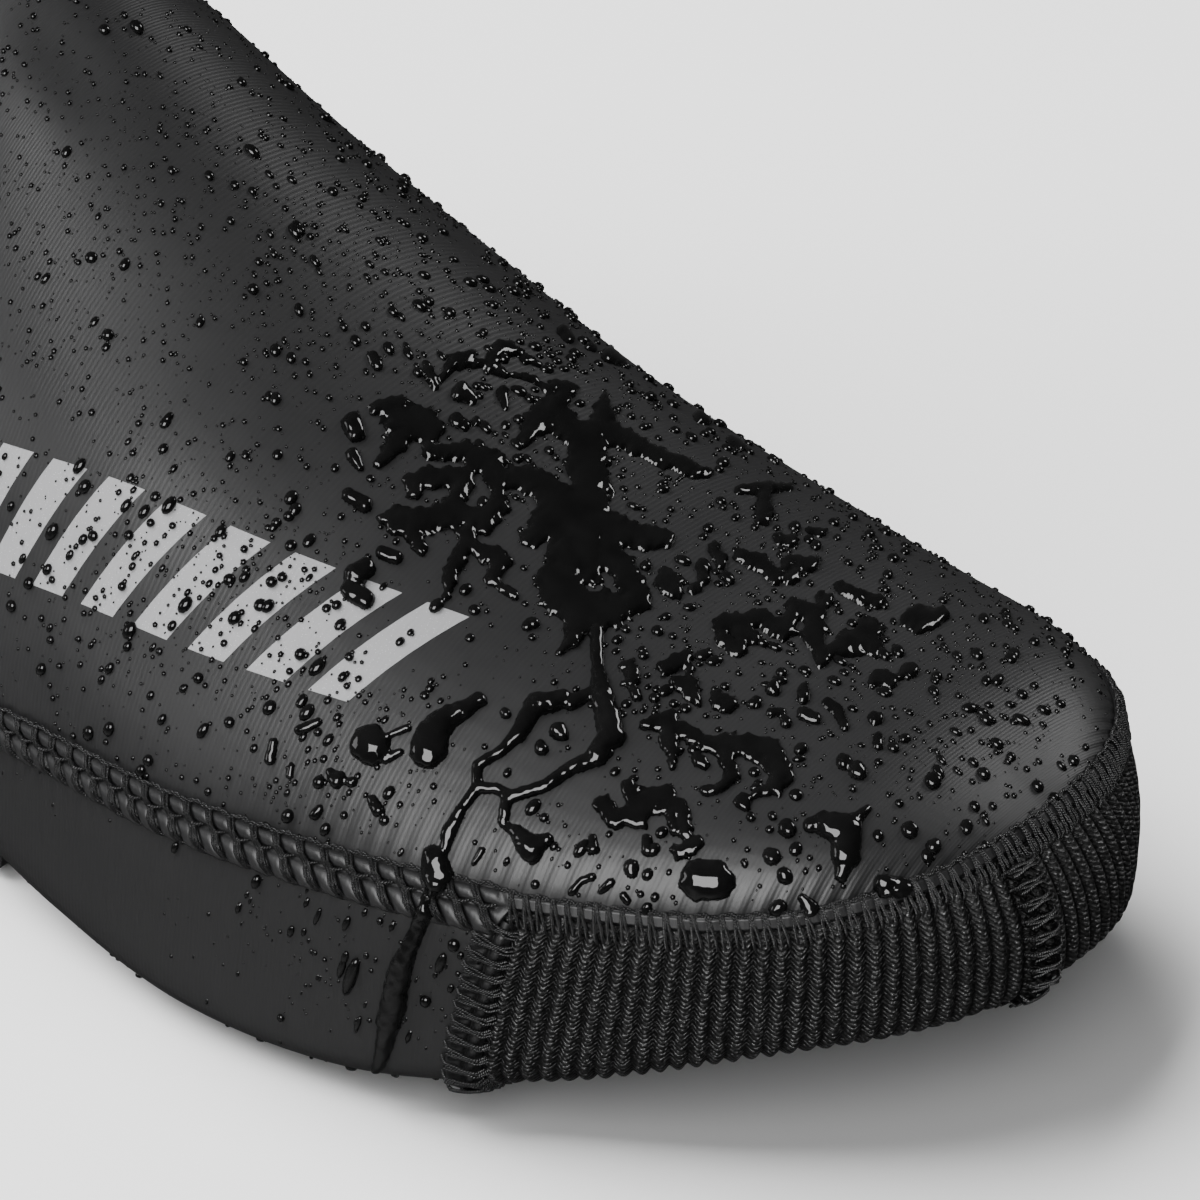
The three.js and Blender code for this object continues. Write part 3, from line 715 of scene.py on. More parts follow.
def makeSeamThread():
    material, tree = newMaterial("seamThread")
    look = threadLook
    along, around = surfaceUv(tree)
    grain = grainOn(tree, 0.00015, 0.004)
    twist = plus(tree, over(tree, along, look["plyLength"]), around)
    plies = mathNode(tree, "ABSOLUTE", sineOf(tree, twist))
    normal = addBump(tree, plies, look["plyHeight"])
    return finishMaterial(material, {
        "Base Color": mixColor(tree, plies, look["shadeColor"], look["color"]),
        "Normal": addBump(tree, grain["Grain"], 0.00003, normal), "Roughness": look["roughness"]})


def makeWovenPanel(name, color, threadSize, roughness):
    material, tree = newMaterial(name)
    axes = addNode(tree, "ShaderNodeSeparateXYZ", {"Vector": objectPlace(tree)})
    waves = []
    for axis in ("X", "Y"):
        turns = over(tree, axes.outputs[axis], threadSize)
        waves.append(mathNode(tree, "SINE", times(tree, turns, math.pi)))
    weave = times(tree, *waves)
    grain = grainOn(tree, threadSize / 2, 0.015)
    # Painted shade where the threads dip under each other, mixed with random patches of darker tone
    shade = times(tree, ramp(tree, weave, -1.0, 1.0, 0.5, 1.0), grain["Patches"])
    weaveShadeColor = tuple(0.3 * c for c in color[:3]) + (1,)
    normal = addBump(tree, weave, threadSize * 0.3)
    return finishMaterial(material, {
        "Base Color": mixColor(tree, shade, weaveShadeColor, color),
        "Normal": addBump(tree, grain["Grain"], 0.00005, normal), "Roughness": roughness})


def makeWater():
    material, tree = newMaterial("water")
    ripple = addNode(tree, "ShaderNodeTexNoise", {"Vector": objectPlace(tree), "Scale": 260.0, "Detail": 1.0})
    ripple = ripple.outputs["Fac"]
    return finishMaterial(material, {
        "Base Color": mixColor(tree, ripple, (0.002, 0.002, 0.002, 1), (0.006, 0.006, 0.006, 1)),
        "Normal": addBump(tree, ripple, 0.00004, None, 0.5), "Roughness": 0.04, "IOR": 1.36})


coatedNeoprene = makeCoatedNeoprene(True)
coatedPlain = makeCoatedNeoprene(False)
smoothNeoprene = makeSmoothNeoprene()
ribbedKnit = makeRibbedKnit()
seamThread = makeSeamThread()
soleFabric = makeWovenPanel("soleFabric", (0.022, 0.022, 0.023, 1), 0.0007, 0.75)
loopFabric = makeWovenPanel("loopFabric", (0.014, 0.014, 0.015, 1), 0.0011, 0.9)
innerLining = makeWovenPanel("innerLining", (0.020, 0.020, 0.022, 1), 0.0005, 0.85)
bindingFabric = makeWovenPanel("bindingFabric", (0.008, 0.008, 0.009, 1), 0.0005, 0.7)
water = makeWater()
print("materials made")


# Fine copy of the whole shell, for placing things on it by rays
treeTravels = np.concatenate([
    0.030 * (1 - np.cos(np.linspace(0, math.pi / 2, 60))), np.arange(0.031, travelEnd, 0.0012), [travelEnd]])
treeGrid = np.stack([shellPoint(t, sectionAngles(48)) for t in treeTravels])
shellTree = BVHTree.FromPolygons(treeGrid.reshape(-1, 3).tolist(), gridFaces(*treeGrid.shape[:2]).tolist())
middleY = shellShift[1]


# Plan outline of the underside, moved in by an inset, as outer and inner limits for an x
def undersideLimits(insetAt, count=420):
    keelTravels = np.linspace(0, heelBackTravel, 4000)
    keelX = closedSection(keelTravels)[2]
    xs = toeX - shell["length"] * (1 - np.cos(np.linspace(0, math.pi, count))) / 2
    section = closedSection(np.interp(-xs, -keelX, keelTravels))
    heel = roundEnd(section[2] + toeX, shell["heelRound"], shell["toePlanPower"])
    sides = []
    for half, sign in ((-section[4], 1), (section[5], -1)):
        line = np.stack([section[2], section[6] + half * heel + middleY], axis=-1)
        along = unit(np.gradient(line, axis=0))
        inset = insetAt(line[:, 0])
        moved = line + sign * np.stack([along[:, 1] * inset, -along[:, 0] * inset], axis=-1)
        sides.append(moved[np.argsort(moved[:, 0])])
    low = max(side[0, 0] for side in sides)
    high = min(side[-1, 0] for side in sides)

    def limits(x):
        x = np.asarray(x, float)
        outer, inner = [np.interp(x, *side.T) for side in sides]
        beyond = (x < low) | (x > high) | (outer > inner)
        return np.where(beyond, 1.0, outer), np.where(beyond, -1.0, inner)

    return limits, low, high


def soleInsetAt(x):
    reach = shell["guardLength"] + shell["soleToeInset"]
    share = smoothStep(x - (toeX - reach), 0, reach)
    return shell["soleInset"] + (shell["soleToeInset"] - shell["soleInset"]) * share


soleLimits, soleBack, soleFront = undersideLimits(soleInsetAt)


# One section of the shell with the arc lengths where the seam and the sole's edge cross it, outer and inner
def cutSection(travel):
    angles = sectionAngles(60)
    points = shellPoint(travel, angles)
    arcs = arcLengths(points)
    half = len(angles) // 2
    top = arcs[half] if travel < shell["toeReachTop"] else None
    above = points[:, 2] - seamHeight(points[:, 0])
    seams = (crossing(above[: half + 1], arcs[: half + 1], top or 0.0),
             crossing(above[half:], arcs[half:], top or arcs[-1]))
    high = points[:, 2] > shell["toeCentreHeight"]
    outerLimit, innerLimit = soleLimits(points[:, 0])
    outside = np.where(high, -1.0, points[:, 1] - outerLimit)
    soleOuter = crossing(outside[: half + 1], arcs[: half + 1], 0.0) if outside[0] > 0 else 0.0
    outside = np.where(high, -1.0, innerLimit - points[:, 1])
    soleInner = crossing(outside[half:], arcs[half:], arcs[-1]) if outside[-1] > 0 else arcs[-1]
    return points, arcs, seams, (soleOuter, soleInner)


def firstWhere(test, low, high):
    for step in range(40):
        middle = (low + high) / 2
        low, high = (low, middle) if test(middle) else (middle, high)
    return (low + high) / 2


def aboveSeam(travel, angle):
    point = shellPoint(travel, angle)
    return point[2] - seamHeight(point[0])


seamToeTravel = firstWhere(lambda t: aboveSeam(t, math.pi) > 0, 0, shell["toeReachTop"])
seamHeelTravel = firstWhere(lambda t: aboveSeam(t, 0.0) > 0, sectionKnots[9], heelBackTravel + 0.04)


def bakeModifiers(obj):
    if not obj.modifiers:
        return
    graph = bpy.context.evaluated_depsgraph_get()
    baked = bpy.data.meshes.new_from_object(obj.evaluated_get(graph), depsgraph=graph)
    obj.modifiers.clear()
    old = obj.data
    obj.data = baked
    bpy.data.meshes.remove(old)


# Thicken towards the inside and bake, then tie the piece to the body
def finishPiece(obj, replaced, wall=0.0, bevel=0.0, lining=0):
    if wall:
        solid = obj.modifiers.new("wall", "SOLIDIFY")
        solid.thickness = wall
        solid.offset = -1
        solid.material_offset = lining
    if bevel:
        edge = obj.modifiers.new("edge", "BEVEL")
        edge.width = bevel
        edge.segments = 2
        edge.limit_method = "ANGLE"
        edge.angle_limit = math.radians(50)
    bakeModifiers(obj)
    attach(obj, "root")
    if replaced:
        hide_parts(*replaced)
    return obj


def photoHit(px, py):
    hit = shellTree.ray_cast(Vector(viewPoint), Vector(photoRay(px, py)).normalized())
    return None if hit[0] is None else (np.array(hit[0]), np.array(hit[1]))


# Upper: soft creases, listed as pixels of the photograph from start to end, width and height in mm
creases = {
    "dimpleOverToes": (48, 38, 80, 84, 3.4, -1.3),
    "dimpleRim": (12, 66, 44, 104, 5.0, 0.8),
    "instepSwell": (395, 160, 455, 215, 9.0, 0.9),
    "instepHollow": (300, 95, 400, 165, 9.0, -0.7),
    "vampHollow": (150, 300, 330, 330, 16.0, -0.6),
    "vampRidge": (200, 205, 420, 290, 14.0, 0.5),
    "sideSwell": (420, 905, 800, 870, 14.0, 0.5),
    "sideHollow": (470, 800, 760, 770, 11.0, -0.5),
    "outerFold": (10, 560, 140, 620, 12.0, -0.6),
    "outerSwell": (0, 430, 110, 470, 14.0, 0.7),
    "toeHollow": (930, 640, 1010, 700, 8.0, -0.4),
}

# Soft ankle folds: height above the floor at the front and the back, width and height in mm
ankleFolds = [
    (0.128, 0.100, 9.0, -0.5), (0.141, 0.112, 8.0, 0.35), (0.153, 0.128, 9.0, -0.3), (0.166, 0.145, 9.0, 0.2),
]

upperLook = {
    "rows": 200,
    "toeRows": 36,
    "toeReach": 0.020,
    "columns": 164,
    "seamLift": 0.0004,
    "pillow": 0.0006,
    "pillowReach": 0.008,
    "ankleRounds": 24,
}


def reliefOn(points, normals):
    lift = np.zeros(len(points))
    for startX, startY, endX, endY, width, height in creases.values():
        hits = [photoHit(startX, startY), photoHit(endX, endY)]
        if None in hits:
            continue
        start, end = hits[0][0], hits[1][0]
        along = end - start
        share = np.clip((points - start) @ along / (along @ along), 0, 1)
        away = np.linalg.norm(points - start - share[:, None] * along, axis=1)
        facing = np.clip(normals @ (hits[0][1] + hits[1][1]) / 2, 0, 1)
        lift += 0.001 * height * bell(away, 0, 0.001 * width) * facing
    ankle = np.clip((points[:, 0] + 0.13) / 0.09, 0, 1)
    for front, back, width, height in ankleFolds:
        level = back + (front - back) * ankle + 0.004 * np.sin(points[:, 1] * 60 + 9 * front)
        lift += 0.001 * height * bell(points[:, 2], level, 0.001 * width)
    return points + normals * lift[:, None]


# A pillow along the seam, drawn down right beside it
def pillowLift(far, reach, height, down, downReach):
    share = far / reach
    return height * share * np.exp(1 - share) - down * np.exp(-far / downReach)


def buildUpper():
    look = upperLook
    toeTravels = seamToeTravel + look["toeReach"] * (1 - np.cos(np.linspace(0, math.pi / 2, look["toeRows"])))
    rest = np.linspace(toeTravels[-1], travelEnd, look["rows"] - look["toeRows"] + 1)[1:]
    grid, above, far = [], [], []
    for travel in np.concatenate([toeTravels, rest]):
        points, arcs, seams, soles = cutSection(travel)
        wanted = np.linspace(*seams, look["columns"])
        grid.append(alongLine(points, arcs, wanted))
        above.append(wanted - seams[0])
        far.append(np.minimum(wanted - seams[0], seams[1] - wanted) if seams[0] > 0 else wanted * 0 + 0.1)
    grid = np.array(grid)
    obj = gridObject("upperSkin", grid, coatedNeoprene, arcLengths(grid[:, 0]), np.array(above))
    setAttribute(obj, "seamDistance", far)
    mergeDoubles(obj)
    evenFaces(obj)
    points, normals = vertexArrays(obj)
    points = reliefOn(points, normals)
    far = readAttribute(obj, "seamDistance")
    soften = smoothStep(points[:, 2], 0.060, 0.085) * (1 - smoothStep(points[:, 2], 0.190, 0.200))
    soften = (soften * smoothStep(far, 0.004, 0.012))[:, None]
    points = points + (smoothOver(obj, points, look["ankleRounds"]) - points) * soften
    lift = pillowLift(far, look["pillowReach"], look["pillow"], look["seamLift"], 0.002)
    moveVertices(obj, points + normals * lift[:, None])
    obj.data.materials.append(innerLining)
    return finishPiece(obj, ["upper"], shell["wall"], lining=1)


upperSkin = buildUpper()
print("upper built:", len(upperSkin.data.polygons), "faces")


# Side panels: from the seam down to the sole's edge, behind the toe guard
panelLook = {
    "start": 0.040, "sections": 420, "rows": 220, "columns": 46, "pillow": 0.0005, "pillowReach": 0.006,
    "seamLift": 0.0003,
}


def guardEndX(z):
    top = toeX - shell["guardLength"]
    return top - shell["guardLean"] * (seamHeight(top) - z)


def buildSidePanel(name, node, inner):
    look = panelLook
    shares = np.linspace(0, 1, look["columns"])
    table, depth = [], []
    for travel in np.linspace(look["start"], seamHeelTravel, look["sections"]):
        points, arcs, seams, soles = cutSection(travel)
        start, end = seams[inner], soles[inner]
        table.append(alongLine(points, arcs, start + (end - start) * shares))
        depth.append(abs(end - start) * shares)
    table, depth = np.array(table), np.array(depth)
    grid = np.empty((look["rows"], look["columns"], 3))
    down = np.empty((look["rows"], look["columns"]))
    places = np.arange(look["sections"])
    for j in range(look["columns"]):
        behind = guardEndX(table[:, j, 2]) - table[:, j, 0]
        spots = np.linspace(crossing(behind, places.astype(float), 0.0), places[-1], look["rows"])
        for k in range(3):
            grid[:, j, k] = np.interp(spots, places, table[:, j, k])
        down[:, j] = np.interp(spots, places, depth[:, j])
    obj = gridObject(name, grid, smoothNeoprene, arcLengths(grid[:, 0]), -down)
    setAttribute(obj, "seamDistance", down)
    mergeDoubles(obj)
    faceAlong(obj, np.array([0, 1 if inner else -1, 0]))
    points, normals = vertexArrays(obj)
    far = readAttribute(obj, "seamDistance")
    lift = pillowLift(far, look["pillowReach"], look["pillow"], look["seamLift"], 0.0015)
    moveVertices(obj, points + normals * lift[:, None])
    return finishPiece(obj, [node], shell["wall"])


outerPanel = buildSidePanel("sidePanelOuter", "side_panel_outer", False)
innerPanel = buildSidePanel("sidePanelInner", "side_panel_inner", True)
print("side panels built")


# Toe guards: ribbed knit cut from rays out of a point at the guard's end
guardLook = {
    "pitch": 0.00235,
    "columnsPerRib": 8,
    "rows": 48,
    "ribHeight": 0.00075,
    "ribSharpness": 0.65,
    "centreZ": 0.020,
    "spread": 1.05,
    "wall": 0.0024,
}
guardCentre = np.array([guardEndX(guardLook["centreZ"]), middleY, guardLook["centreZ"]])


def guardDirection(turn, climb):
    lean = shell["guardLean"] * np.abs(np.sin(turn)) ** 4
    return np.stack([
        np.cos(turn) * np.cos(climb) + lean * np.sin(climb), np.sin(turn) * np.cos(climb), np.sin(climb)], -1)


def guardLines(turns, rows):
    climbs = np.linspace(-guardLook["spread"], guardLook["spread"], 130)
    lines = []
    for turn in turns:
        hits = []
        for direction in guardDirection(np.full_like(climbs, turn), climbs):
            hit = shellTree.ray_cast(Vector(guardCentre), Vector(direction).normalized())[0]
            if hit is None:
                hit = shellTree.ray_cast(Vector(guardCentre), Vector(direction + 0.0003).normalized())[0]
            hits.append(hit[:])
        points = np.array(hits)
        arcs = arcLengths(points)
        top = crossing(points[:, 2] - seamHeight(points[:, 0]), arcs, arcs[-1])
        outerLimit, innerLimit = soleLimits(points[:, 0])
        inside = np.minimum(points[:, 1] - outerLimit, innerLimit - points[:, 1])
        inside = np.where(points[:, 2] > guardLook["centreZ"], -1.0, inside)
        low = crossing(inside, arcs, 0.0) if inside[0] > 0 else 0.0
        lines.append(alongLine(points, arcs, np.linspace(low, top, rows)))
    return np.array(lines)


guardTurns = np.linspace(-math.pi / 2, math.pi / 2, 90)
guardArcs = arcLengths(guardLines(guardTurns, 3)[:, 1])
tipArc = np.interp(0.0, guardTurns, guardArcs)


def buildGuard(name, node, inner):
    look = guardLook
    start, end = (tipArc, guardArcs[-1]) if inner else (0.0, tipArc)
    ribs = round((end - start) / look["pitch"])
    spots = np.linspace(start, end, ribs * look["columnsPerRib"] + 1)
    phase = np.linspace(0, ribs, len(spots))
    grid = guardLines(np.interp(spots, guardArcs, guardTurns), look["rows"])
    normals = gridNormals(grid)
    normals *= np.sign(np.sum(normals * (grid - guardCentre), axis=-1, keepdims=True))
    ribShape = ((0.5 - 0.5 * np.cos(2 * math.pi * phase)) ** look["ribSharpness"])[:, None]
    climb = arcLengths(grid)
    topFade = np.clip((climb[:, -1:] - climb) / 0.0025, 0.25, 1)
    wobble = 1 + 0.12 * np.sin(phase[:, None] * 2.4 + climb * 190) * np.sin(climb * 420 + phase[:, None])
    lift = look["ribHeight"] * (ribShape - 0.45) * topFade * wobble
    obj = gridObject(name, grid + normals * lift[..., None], ribbedKnit, phase, climb)
    setAttribute(obj, "ribHeight", np.broadcast_to(ribShape, climb.shape))
    mergeDoubles(obj)
    faceAlong(obj, vertexArrays(obj)[0] - guardCentre)
    return finishPiece(obj, [node], look["wall"])


buildGuard("toeGuardOuter", "toe_guard_outer", False)
buildGuard("toeGuardInner", "toe_guard_inner", True)
print("toe guards built")


# Seam paths on the shell: points, outward normals, and the side that counts as up
def shellNormals(points):
    normals = np.array([shellTree.find_nearest(Vector(p))[1][:] for p in points])
    for turn in range(3):
        normals[1:-1] = (normals[:-2] + 2 * normals[1:-1] + normals[2:]) / 4
        normals = unit(normals)
    return normals


def evenPath(points, spacing):
    arcs = arcLengths(points)
    count = max(2, round(arcs[-1] / spacing) + 1)
    return alongLine(points, arcs, np.linspace(0, arcs[-1], count))


def sideSeamLine():
    outer, inner = [], []
    shares = (1 - np.cos(np.linspace(0, math.pi, 420))) / 2
    for travel in seamToeTravel + (seamHeelTravel - seamToeTravel) * shares:
        points, arcs, seams, soles = cutSection(travel)
        both = alongLine(points, arcs, seams)
        outer.append(both[0])
        inner.append(both[1])
    return np.array(outer[::-1] + inner[1:])


def seamFrames(points, closed):
    along = np.roll(points, -1, 0) - np.roll(points, 1, 0) if closed else np.gradient(points, axis=0)
    along = unit(along)
    normals = shellNormals(points)
    return along, normals, unit(np.cross(normals, along))


# Flatlock seams: two rows of pillows drawn in by slanting threads, or a cut strip over the knit
seamLook = {
    "spacing": 0.00034,
    "columns": 25,
    "pitch": 0.0034,
    "top": 0.0029,
    "bottom": -0.0035,
    "upperRow": (0.00145, 0.00115, 2.4),
    "lowerRow": (-0.00165, 0.00190, 2.6),
    "upperHeight": 0.00125,
    "lowerHeight": 0.00150,
    "lean": 0.62,
    "valleyDepth": 0.75,
    "scallop": 0.0005,
    "sunk": 0.0008,
    "stripTop": 0.0022,
    "stripBottom": 0.0004,
    "stripHeight": 0.0010,
    "frontPitch": 0.00175,
    "endPitch": 0.0022,
    "cordRadius": 0.00019,
    "cordTwist": 0.0021,
    "cordSag": 0.00016,
}


def pillowRow(phase, sharpness=0.17):
    return 1 - bell(phase, np.round(phase), sharpness)


def rowShape(side, centre, half, power):
    return np.clip(1 - np.abs((side - centre) / half) ** power, 0, 1) ** 0.5


def buildSeamBody(name, node, points, material, slotName, front=None, pitch=None, narrow=1.0, relief=1.0):
    look = seamLook
    closed = front is not None
    path = evenPath(points, look["spacing"])
    if closed:
        path = path[:-1]
    along, normals, up = seamFrames(path, closed)
    arcs = arcLengths(path)
    pitch = pitch or look["pitch"]
    phase = arcs / arcs[-1] * round(arcs[-1] / pitch)
    share = np.linspace(0, 1, look["columns"])[None]
    smooth = front(path)[:, None] if front else np.zeros((len(path), 1))
    bottom = (look["bottom"] * (1 - smooth) + look["stripBottom"] * smooth) * narrow
    top = (look["top"] * (1 - smooth) + look["stripTop"] * smooth) * narrow
    bottom = bottom + look["scallop"] * bell(phase, np.round(phase), 0.2)[:, None] * (1 - smooth)
    side = bottom + (top - bottom) * share
    slanted = phase[:, None] + look["lean"] * side / look["pitch"]
    depth = look["valleyDepth"] * relief
    lower = look["lowerHeight"] * (0.55 + 0.45 * relief) * rowShape(side / narrow, *look["lowerRow"])
    lower = lower * (1 - depth + depth * pillowRow(slanted))
    upper = look["upperHeight"] * rowShape(side / narrow, *look["upperRow"])
    upper = upper * (1 - 0.8 * depth + 0.8 * depth * pillowRow(slanted, 0.14))
    rear = np.maximum(np.maximum(lower, upper), 0.0002)
    strip = look["stripHeight"] * smoothStep(share, 0.0, 0.10) * (1 - 0.25 * smoothStep(share, 0.75, 1.0))
    strip = strip * (1 - 0.10 * bell((phase * pitch / look["frontPitch"]) % 1.0, 0.5, 0.15)[:, None])
    lift = rear * (1 - smooth) + strip * smooth + 0.00006 * np.sin(phase * 1.7)[:, None]
    edges = [(side[:, :1], -look["sunk"]), (side, lift), (side[:, -1:], -look["sunk"])]
    side = np.concatenate([part for part, height in edges], axis=1)
    lift = np.concatenate([height + 0 * part for part, height in edges], axis=1)
    grid = path[:, None] + up[:, None] * side[..., None] + normals[:, None] * lift[..., None]
    obj = gridObject(name, grid, material, arcs, side, closeRows=closed)
    setAttribute(obj, "seamDistance", np.full(side.size, 1.0))
    faceAlong(obj, np.repeat(normals, side.shape[1], 0))
    finishPiece(obj, [node])
    return {"path": path, "along": along, "normals": normals, "up": up, "arcs": arcs, "phase": phase,
            "smooth": smooth[:, 0], "closed": closed, "narrow": narrow}


def frontShare(path):
    return smoothStep(path[:, 0], toeX - shell["guardLength"] - 0.0015, toeX - shell["guardLength"] + 0.0015)


def guardUp(turn):
    return trimmed(guardLines([turn], 60)[0][::-1], 0.001, 0.0)


def middleLine(low, high):
    return shellPoint(np.linspace(low, high, 160), 0.0)


def trimmed(line, start, end):
    arcs = arcLengths(line)
    return alongLine(line, arcs, np.linspace(start, arcs[-1] - end, len(line)))


heelLowTravel = firstWhere(
    lambda t: shellPoint(t, 0.0)[0] < -toeX + shell["soleInset"], sectionKnots[9], seamHeelTravel)
hemTravel = firstWhere(
    lambda t: shellPoint(t, 0.0)[2] > shell["collarHeight"] - 0.0125, seamHeelTravel, travelEnd)
smoothKind = (smoothNeoprene, "smooth_neoprene")
endPitch = seamLook["endPitch"]
sideSeam = buildSeamBody("sideSeam", "side_seam", sideSeamLine(), *smoothKind, frontShare)
guardSeams = [
    buildSeamBody(f"guardSeam{side}", f"guard_seam_{side.lower()}", guardUp(turn), *smoothKind, None,
                  endPitch, 0.74, 0.35)
    for side, turn in (("Outer", -math.pi / 2), ("Inner", math.pi / 2))
]
tipSeam = buildSeamBody("toeTipSeam", "toe_tip_seam", guardUp(0.0), ribbedKnit, "ribbed_knit", None,
                        endPitch, 0.6)
heelLine = trimmed(middleLine(heelLowTravel, seamHeelTravel), 0, 0.002)
heelSeam = buildSeamBody("heelSeam", "heel_seam", heelLine, *smoothKind, narrow=0.9)
backLine = trimmed(middleLine(seamHeelTravel, hemTravel), 0.002, 0)
backSeam = buildSeamBody("backSeam", "back_seam", backLine, coatedPlain, "coated_neoprene", narrow=0.9)
print("seam bodies built")


# A round strand along a line given in a stitch's own frame
def strandObject(line, radius, sides=6):
    along = unit(np.gradient(line, axis=0))
    out = unit(np.cross(along, [1.0, 0.03, 0.02]))
    other = np.cross(along, out)
    a = np.linspace(0, 2 * math.pi, sides, endpoint=False)
    ring = np.cos(a)[None, :, None] * out[:, None] + np.sin(a)[None, :, None] * other[:, None]
    around = np.linspace(0, 1, sides, endpoint=False)
    return gridObject("strand", line[:, None] + ring * radius, seamThread, arcLengths(line), around,
                      closeColumns=True)


# End of both scattering trees: one shape on every point, turned and scaled, as plain mesh
def layShapes(tree, given, result, shapeName, points, normal, along, scale):
    turned = addNode(tree, "FunctionNodeAxesToRotation", {"Primary Axis": normal, "Secondary Axis": along},
                     primary_axis="Z", secondary_axis="X")
    size = addNode(tree, "ShaderNodeCombineXYZ", dict(zip("XYZ", scale)))
    shape = addNode(tree, "GeometryNodeObjectInfo", {"Object": given[shapeName]})
    laid = addNode(tree, "GeometryNodeInstanceOnPoints", {
        "Points": points, "Instance": shape.outputs["Geometry"],
        "Rotation": turned.outputs["Rotation"], "Scale": size.outputs["Vector"]})
    real = addNode(tree, "GeometryNodeRealizeInstances", {"Geometry": laid.outputs["Instances"]})
    dressed = addNode(tree, "GeometryNodeSetMaterial", {
        "Geometry": real.outputs["Geometry"], "Material": given["Material"]})
    tree.links.new(dressed.outputs["Geometry"], result.inputs[0])


def namedAttribute(tree, name, kind):
    node = addNode(tree, "GeometryNodeInputNamedAttribute", {"Name": name}, data_type=kind)
    return node.outputs["Attribute"]


def randomValue(tree, seed, low=0.0, high=1.0):
    node = addNode(tree, "FunctionNodeRandomValue", {"Seed": seed}, data_type="FLOAT")
    for name, value in (("Min", low), ("Max", high)):
        socket = [s for s in node.inputs if s.name == name and s.type == "VALUE"][0]
        if isinstance(value, float):
            socket.default_value = value
        else:
            tree.links.new(value, socket)
    return [s for s in node.outputs if s.type == "VALUE"][0]


def makeStitchNodes():
    tree, given, result = newGroup(
        "layStitches", "GeometryNodeTree",
        [("Places", "Geometry", None), ("Stitch", "Object", None), ("Uneven", "Float", 0.1),
         ("Seed", "Int", 3), ("Material", "Material", None)],
        [("Stitches", "Geometry")])
    low = mathNode(tree, "SUBTRACT", 1.0, given["Uneven"])
    amount = randomValue(tree, given["Seed"], low, plus(tree, 1.0, given["Uneven"]))
    layShapes(tree, given, result, "Stitch", given["Places"], namedAttribute(tree, "normal", "FLOAT_VECTOR"),
              namedAttribute(tree, "along", "FLOAT_VECTOR"), (amount, amount, amount))
    return tree


stitchNodes = makeStitchNodes()


def addNodesModifier(obj, group, values):
    modifier = obj.modifiers.new(group.name, "NODES")
    modifier.node_group = group
    for item in group.interface.items_tree:
        if item.item_type == "SOCKET" and item.in_out == "INPUT" and item.name in values:
            modifier[item.identifier] = values[item.name]


def dropShape(obj):
    mesh = obj.data
    bpy.data.objects.remove(obj)
    bpy.data.meshes.remove(mesh)


# Point, direction along the seam and outward normal at places of it
def placesOn(seam, arcs):
    return [alongLine(seam[key], seam["arcs"], arcs) for key in ("path", "along", "normals")]


# Arc lengths of every pitch, and how far a place belongs to the front strip
def pitchArcs(seam, shift=0.0):
    whole = np.arange(1, math.floor(seam["phase"][-1]) + 1)
    return np.interp(whole + shift, seam["phase"], seam["arcs"])


def smoothAt(seam, arcs):
    return np.interp(arcs, seam["arcs"], seam["smooth"])


def layStitches(name, line, thickness, places, uneven, seed):
    strand = strandObject(np.asarray(line, float), threadLook["radius"] * thickness)
    place, along, normals = places
    obj = meshObject(name, place, [], seamThread)
    setAttribute(obj, "normal", normals, "FLOAT_VECTOR")
    setAttribute(obj, "along", along, "FLOAT_VECTOR")
    addNodesModifier(obj, stitchNodes, {
        "Stitch": strand, "Uneven": uneven, "Seed": seed, "Material": seamThread})
    finishPiece(obj, [])
    dropShape(strand)


# Strands of the rear seam: metres along it, across it and out of it; pillows as height, centre and width
rearStitch = {
    "shifts": (-1, 1, 0),
    "lows": (-0.0036, -0.0034, -0.0030),
    "top": 0.0029,
    "pillows": ((0.00110, 0.0014, 0.0010), (0.00140, -0.0015, 0.0014)),
    "rest": 0.0004,
    "dive": 0.0010,
    "wobble": 0.00010,
    "lastAbove": 0.00012,
}

# Short strand between two groups of the rear seam, in the same frame
chainStitch = [
    (-0.0013, 0.0006, 0.00085), (-0.0006, 0.0004, 0.00120), (0.0001, 0.00035, 0.00125),
    (0.0008, 0.0004, 0.0011), (0.0014, 0.0006, 0.0007),
]


def dressRearSeam(seam, name, seed):
    look = rearStitch
    arcs = pitchArcs(seam)
    places = placesOn(seam, arcs[smoothAt(seam, arcs) < 0.5])
    share = np.linspace(0, 1, threadLook["steps"])
    for index, (shift, low) in enumerate(zip(look["shifts"], look["lows"])):
        side = np.linspace(look["top"] * seam["narrow"], low * seam["narrow"], threadLook["steps"])
        rise = sum(height * bell(side, centre, width) for height, centre, width in look["pillows"])
        rise = rise + look["rest"] - look["dive"] * smoothStep(share, 0.9, 1.0)
        rise = rise + look["lastAbove"] * (index == 2)
        bend = shift * threadLook["pairSpread"] - seamLook["lean"] * side
        bend = bend + look["wobble"] * np.sin(7 * share + 2 * index)
        line = np.stack([bend, side, rise], -1)
        layStitches(f"{name}Strand{index + 1}", line, 1.0, places, 0.05, seed + index)
    layStitches(f"{name}Chain", chainStitch, 1.0, places, 0.08, seed + 5)


